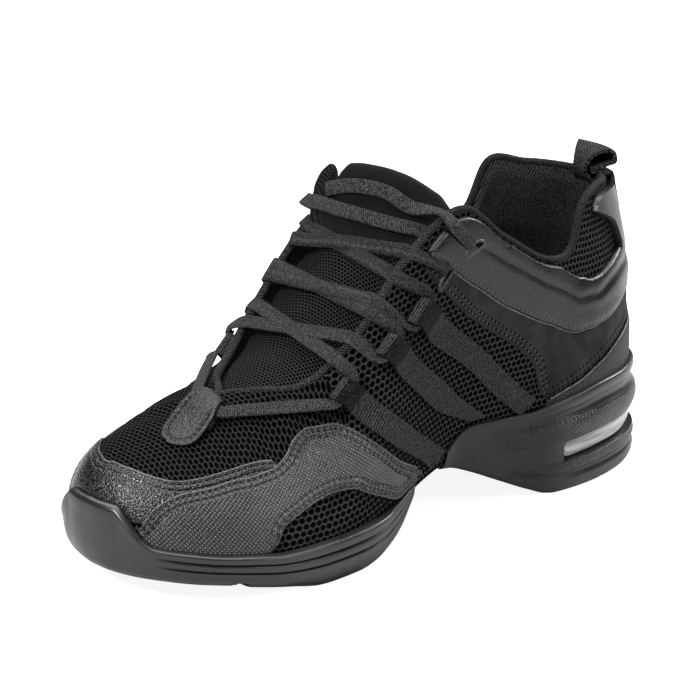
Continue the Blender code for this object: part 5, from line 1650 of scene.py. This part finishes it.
lace("lace_long", lace_half(1)[::-1] + lace_half(-1), ["lace_crossed"])
over_tongue = [knot(tongue, *row) for row in TOP_STRAND_1]
lace("lace_upper_strand", over_tongue + turn_round(TOP_STRAND_1[-1][0]), ["lace_top_1"])
over_edge = [knot(tongue, *row) for row in TOP_STRAND_2] + [knot(crest, *TOP_RIM)]
lace("lace_top_strand", over_edge + [knot(wall, *row) for row in TOP_SLOT_WAY], ["lace_top_2"])

# %% Slots where the lace goes in
SLOT_HALF = (3.9, 1.5)
SLOT_EDGE = .6
SLOT_TILT = .16
HOLE_LIFT = .12
# ring, share, height of the leather there
SLOTS = [(8.69, .783, 1.15), (9.17, .847, 2.6)]
edges, holes = bmesh.new(), bmesh.new()
turn = np.linspace(0, math.tau, 41)
aside = np.cos(turn) * SLOT_HALF[0] / MM_PER_RING
rise = np.sin(turn) * SLOT_HALF[1] / MM_PER_SHARE + aside * SLOT_TILT
for middle, share, height in SLOTS:
    for ring in (middle + aside, RING - middle - aside):
        path = skin(ring, share + rise, height)
        outward = skin(ring, share + rise, height + 1) - path
        along = np.roll(path[:-1], -1, 0) - np.roll(path[:-1], 1, 0)
        beside = np.cross(unit(np.concatenate([along, along[:1]])), outward)
        add_part(edges, tube(path, beside, outward, SLOT_EDGE, SLOT_EDGE, 10))
        # Each slot's opening is a flat disc laid just over the leather and coloured near black: painted shade
        # where the lace goes in.
        disc = bmesh.ops.create_circle(holes, cap_ends=True, segments=len(path) - 1, radius=1)["verts"]
        for vert, point in zip(disc, path[:-1] + outward[:-1] * HOLE_LIFT):
            vert.co = point
bmesh.ops.remove_doubles(edges, verts=edges.verts, dist=WELD)
show("slot_edges", edges, [slot_leather])
show("slot_hole_shades", holes, [slot_shade])

# %% [markdown]
# ## Stitches
# Each seam is sewn with black thread, one stitch every 2.4 mm, lying in a groove between needle holes. The
# holes and the groove are in the leather's material. The stitches are real: a small ball is pulled long and
# laid along the seam, and all of them together are one mesh. They start at the same end as the holes, so
# they stay in step.

# %% Stitches along the seams
STITCH_HALF = (.56, .30, .26)
STITCH_SINK = .08
STITCH_REACH = .5


def inset(ring, share, way):
    """Line moved over the wall by a way in mm, to its left as seen from outside."""
    step = .01
    per_ring = (wall_point(ring + step, share) - wall_point(ring - step, share)) / (2 * step)
    per_share = (wall_point(ring, share + step) - wall_point(ring, share - step)) / (2 * step)
    along = np.gradient(wall_point(ring, share), axis=0)
    left = unit(np.cross(np.cross(per_ring, per_share), along)) * way
    a, b, c = ((x * y).sum(1) for x, y in ((per_ring, per_ring), (per_ring, per_share),
                                           (per_share, per_share)))
    d, e = ((x * left).sum(1) for x in (per_ring, per_share))
    area = a * c - b * b
    return ring + (d * c - e * b) / area, share + (e * a - d * b) / area


def edge_line(table, span, column, mirrored, count):
    """Rings and shares along one edge of a panel."""
    ring = np.linspace(*span, count)
    return RING - ring if mirrored else ring, curve(table, ring, column)


def sew(shape, line, inner, height):
    """Stitches along a line, moved in to a row beside it."""
    way = running(skin(*line, height)[None], 1)[0]
    line_in = inset(*line, inner)
    row = skin(*line_in, height - STITCH_SINK)
    outward = skin(*line_in, height - STITCH_SINK + 1) - row

    def along_row(values, at):
        return np.array([np.interp(at, way, values[:, k]) for k in range(3)])

    for at in np.arange(STITCH_PITCH, way[-1] - STITCH_PITCH, STITCH_PITCH):
        middle, ahead, behind = (along_row(row, at + d) for d in (0, STITCH_REACH, -STITCH_REACH))
        along = Vector(ahead - behind).normalized()
        up = Vector(along_row(outward, at)).normalized()
        aside = up.cross(along).normalized()
        turn = Matrix((along, aside, along.cross(aside))).transposed().to_4x4()
        size = Matrix.Diagonal((*STITCH_HALF, 1))
        bmesh.ops.create_uvsphere(shape, u_segments=6, v_segments=4, radius=1,
                                  matrix=Matrix.Translation(middle) @ turn @ size)


# table, span, edge column, mm in from the edge, height, mirrored; the sign of the way in follows the edge
SEWN = [
    (TOE_CAP, (-2.5, 4.3), 2, (1.5, 3.7), CAP_TOP, False),
    (MUDGUARD, (1.4, 7.7), 2, (1.5, 3.7), GUARD_TOP, False),
    (MUDGUARD, (GUARD_SEAM, 7.7), 1, (1.5, 3.7), GUARD_TOP, False),
    (MUDGUARD, (1.4, 7.7), 2, (1.5, 3.7), GUARD_TOP, True),
    (MUDGUARD, (GUARD_SEAM, 7.7), 1, (1.5, 3.7), GUARD_TOP, True),
    (QUARTER, (8.3, 11.0), 1, (1.6, 3.8), QUARTER_TOP, False),
    (QUARTER, (8.3, 11.0), 1, (1.6, 3.8), QUARTER_TOP, True),
    (both_ways(COLLAR), (8.4, 23.6), 1, (2.0,), 1.5, False),
    (both_ways(COUNTER), (11.1, 20.9), 2, (1.5,), COUNTER_TOP, False),
]
whole = bmesh.new()
for table, span, column, ways, height, mirrored in SEWN:
    turn = (1 if column == 1 else -1) * (-1 if mirrored else 1)
    for way in ways:
        row = bmesh.new()
        sew(row, edge_line(table, span, column, mirrored, 240), way * turn, height)
        add_part(whole, row)
show("seam_stitches", whole, [thread_black])

# %% Turned edges of the panels
# The tubes take the lighter edge leather: painted highlight along each turned edge.
EDGE_RADIUS = .42
EDGE_HEIGHT = .62
whole = bmesh.new()
for table, span, column, ways, height, mirrored in SEWN:
    if table is QUARTER:
        continue
    line = edge_line(table, span, column, mirrored, 200)
    path = skin(*line, height * EDGE_HEIGHT)
    outward = skin(*line, height * EDGE_HEIGHT + 1) - path
    beside = np.cross(unit(np.gradient(path, axis=0)), outward)
    add_part(whole, tube(path, beside, outward, EDGE_RADIUS, EDGE_RADIUS, 8))
show("panel_edges", whole, [edge_highlight_leather])
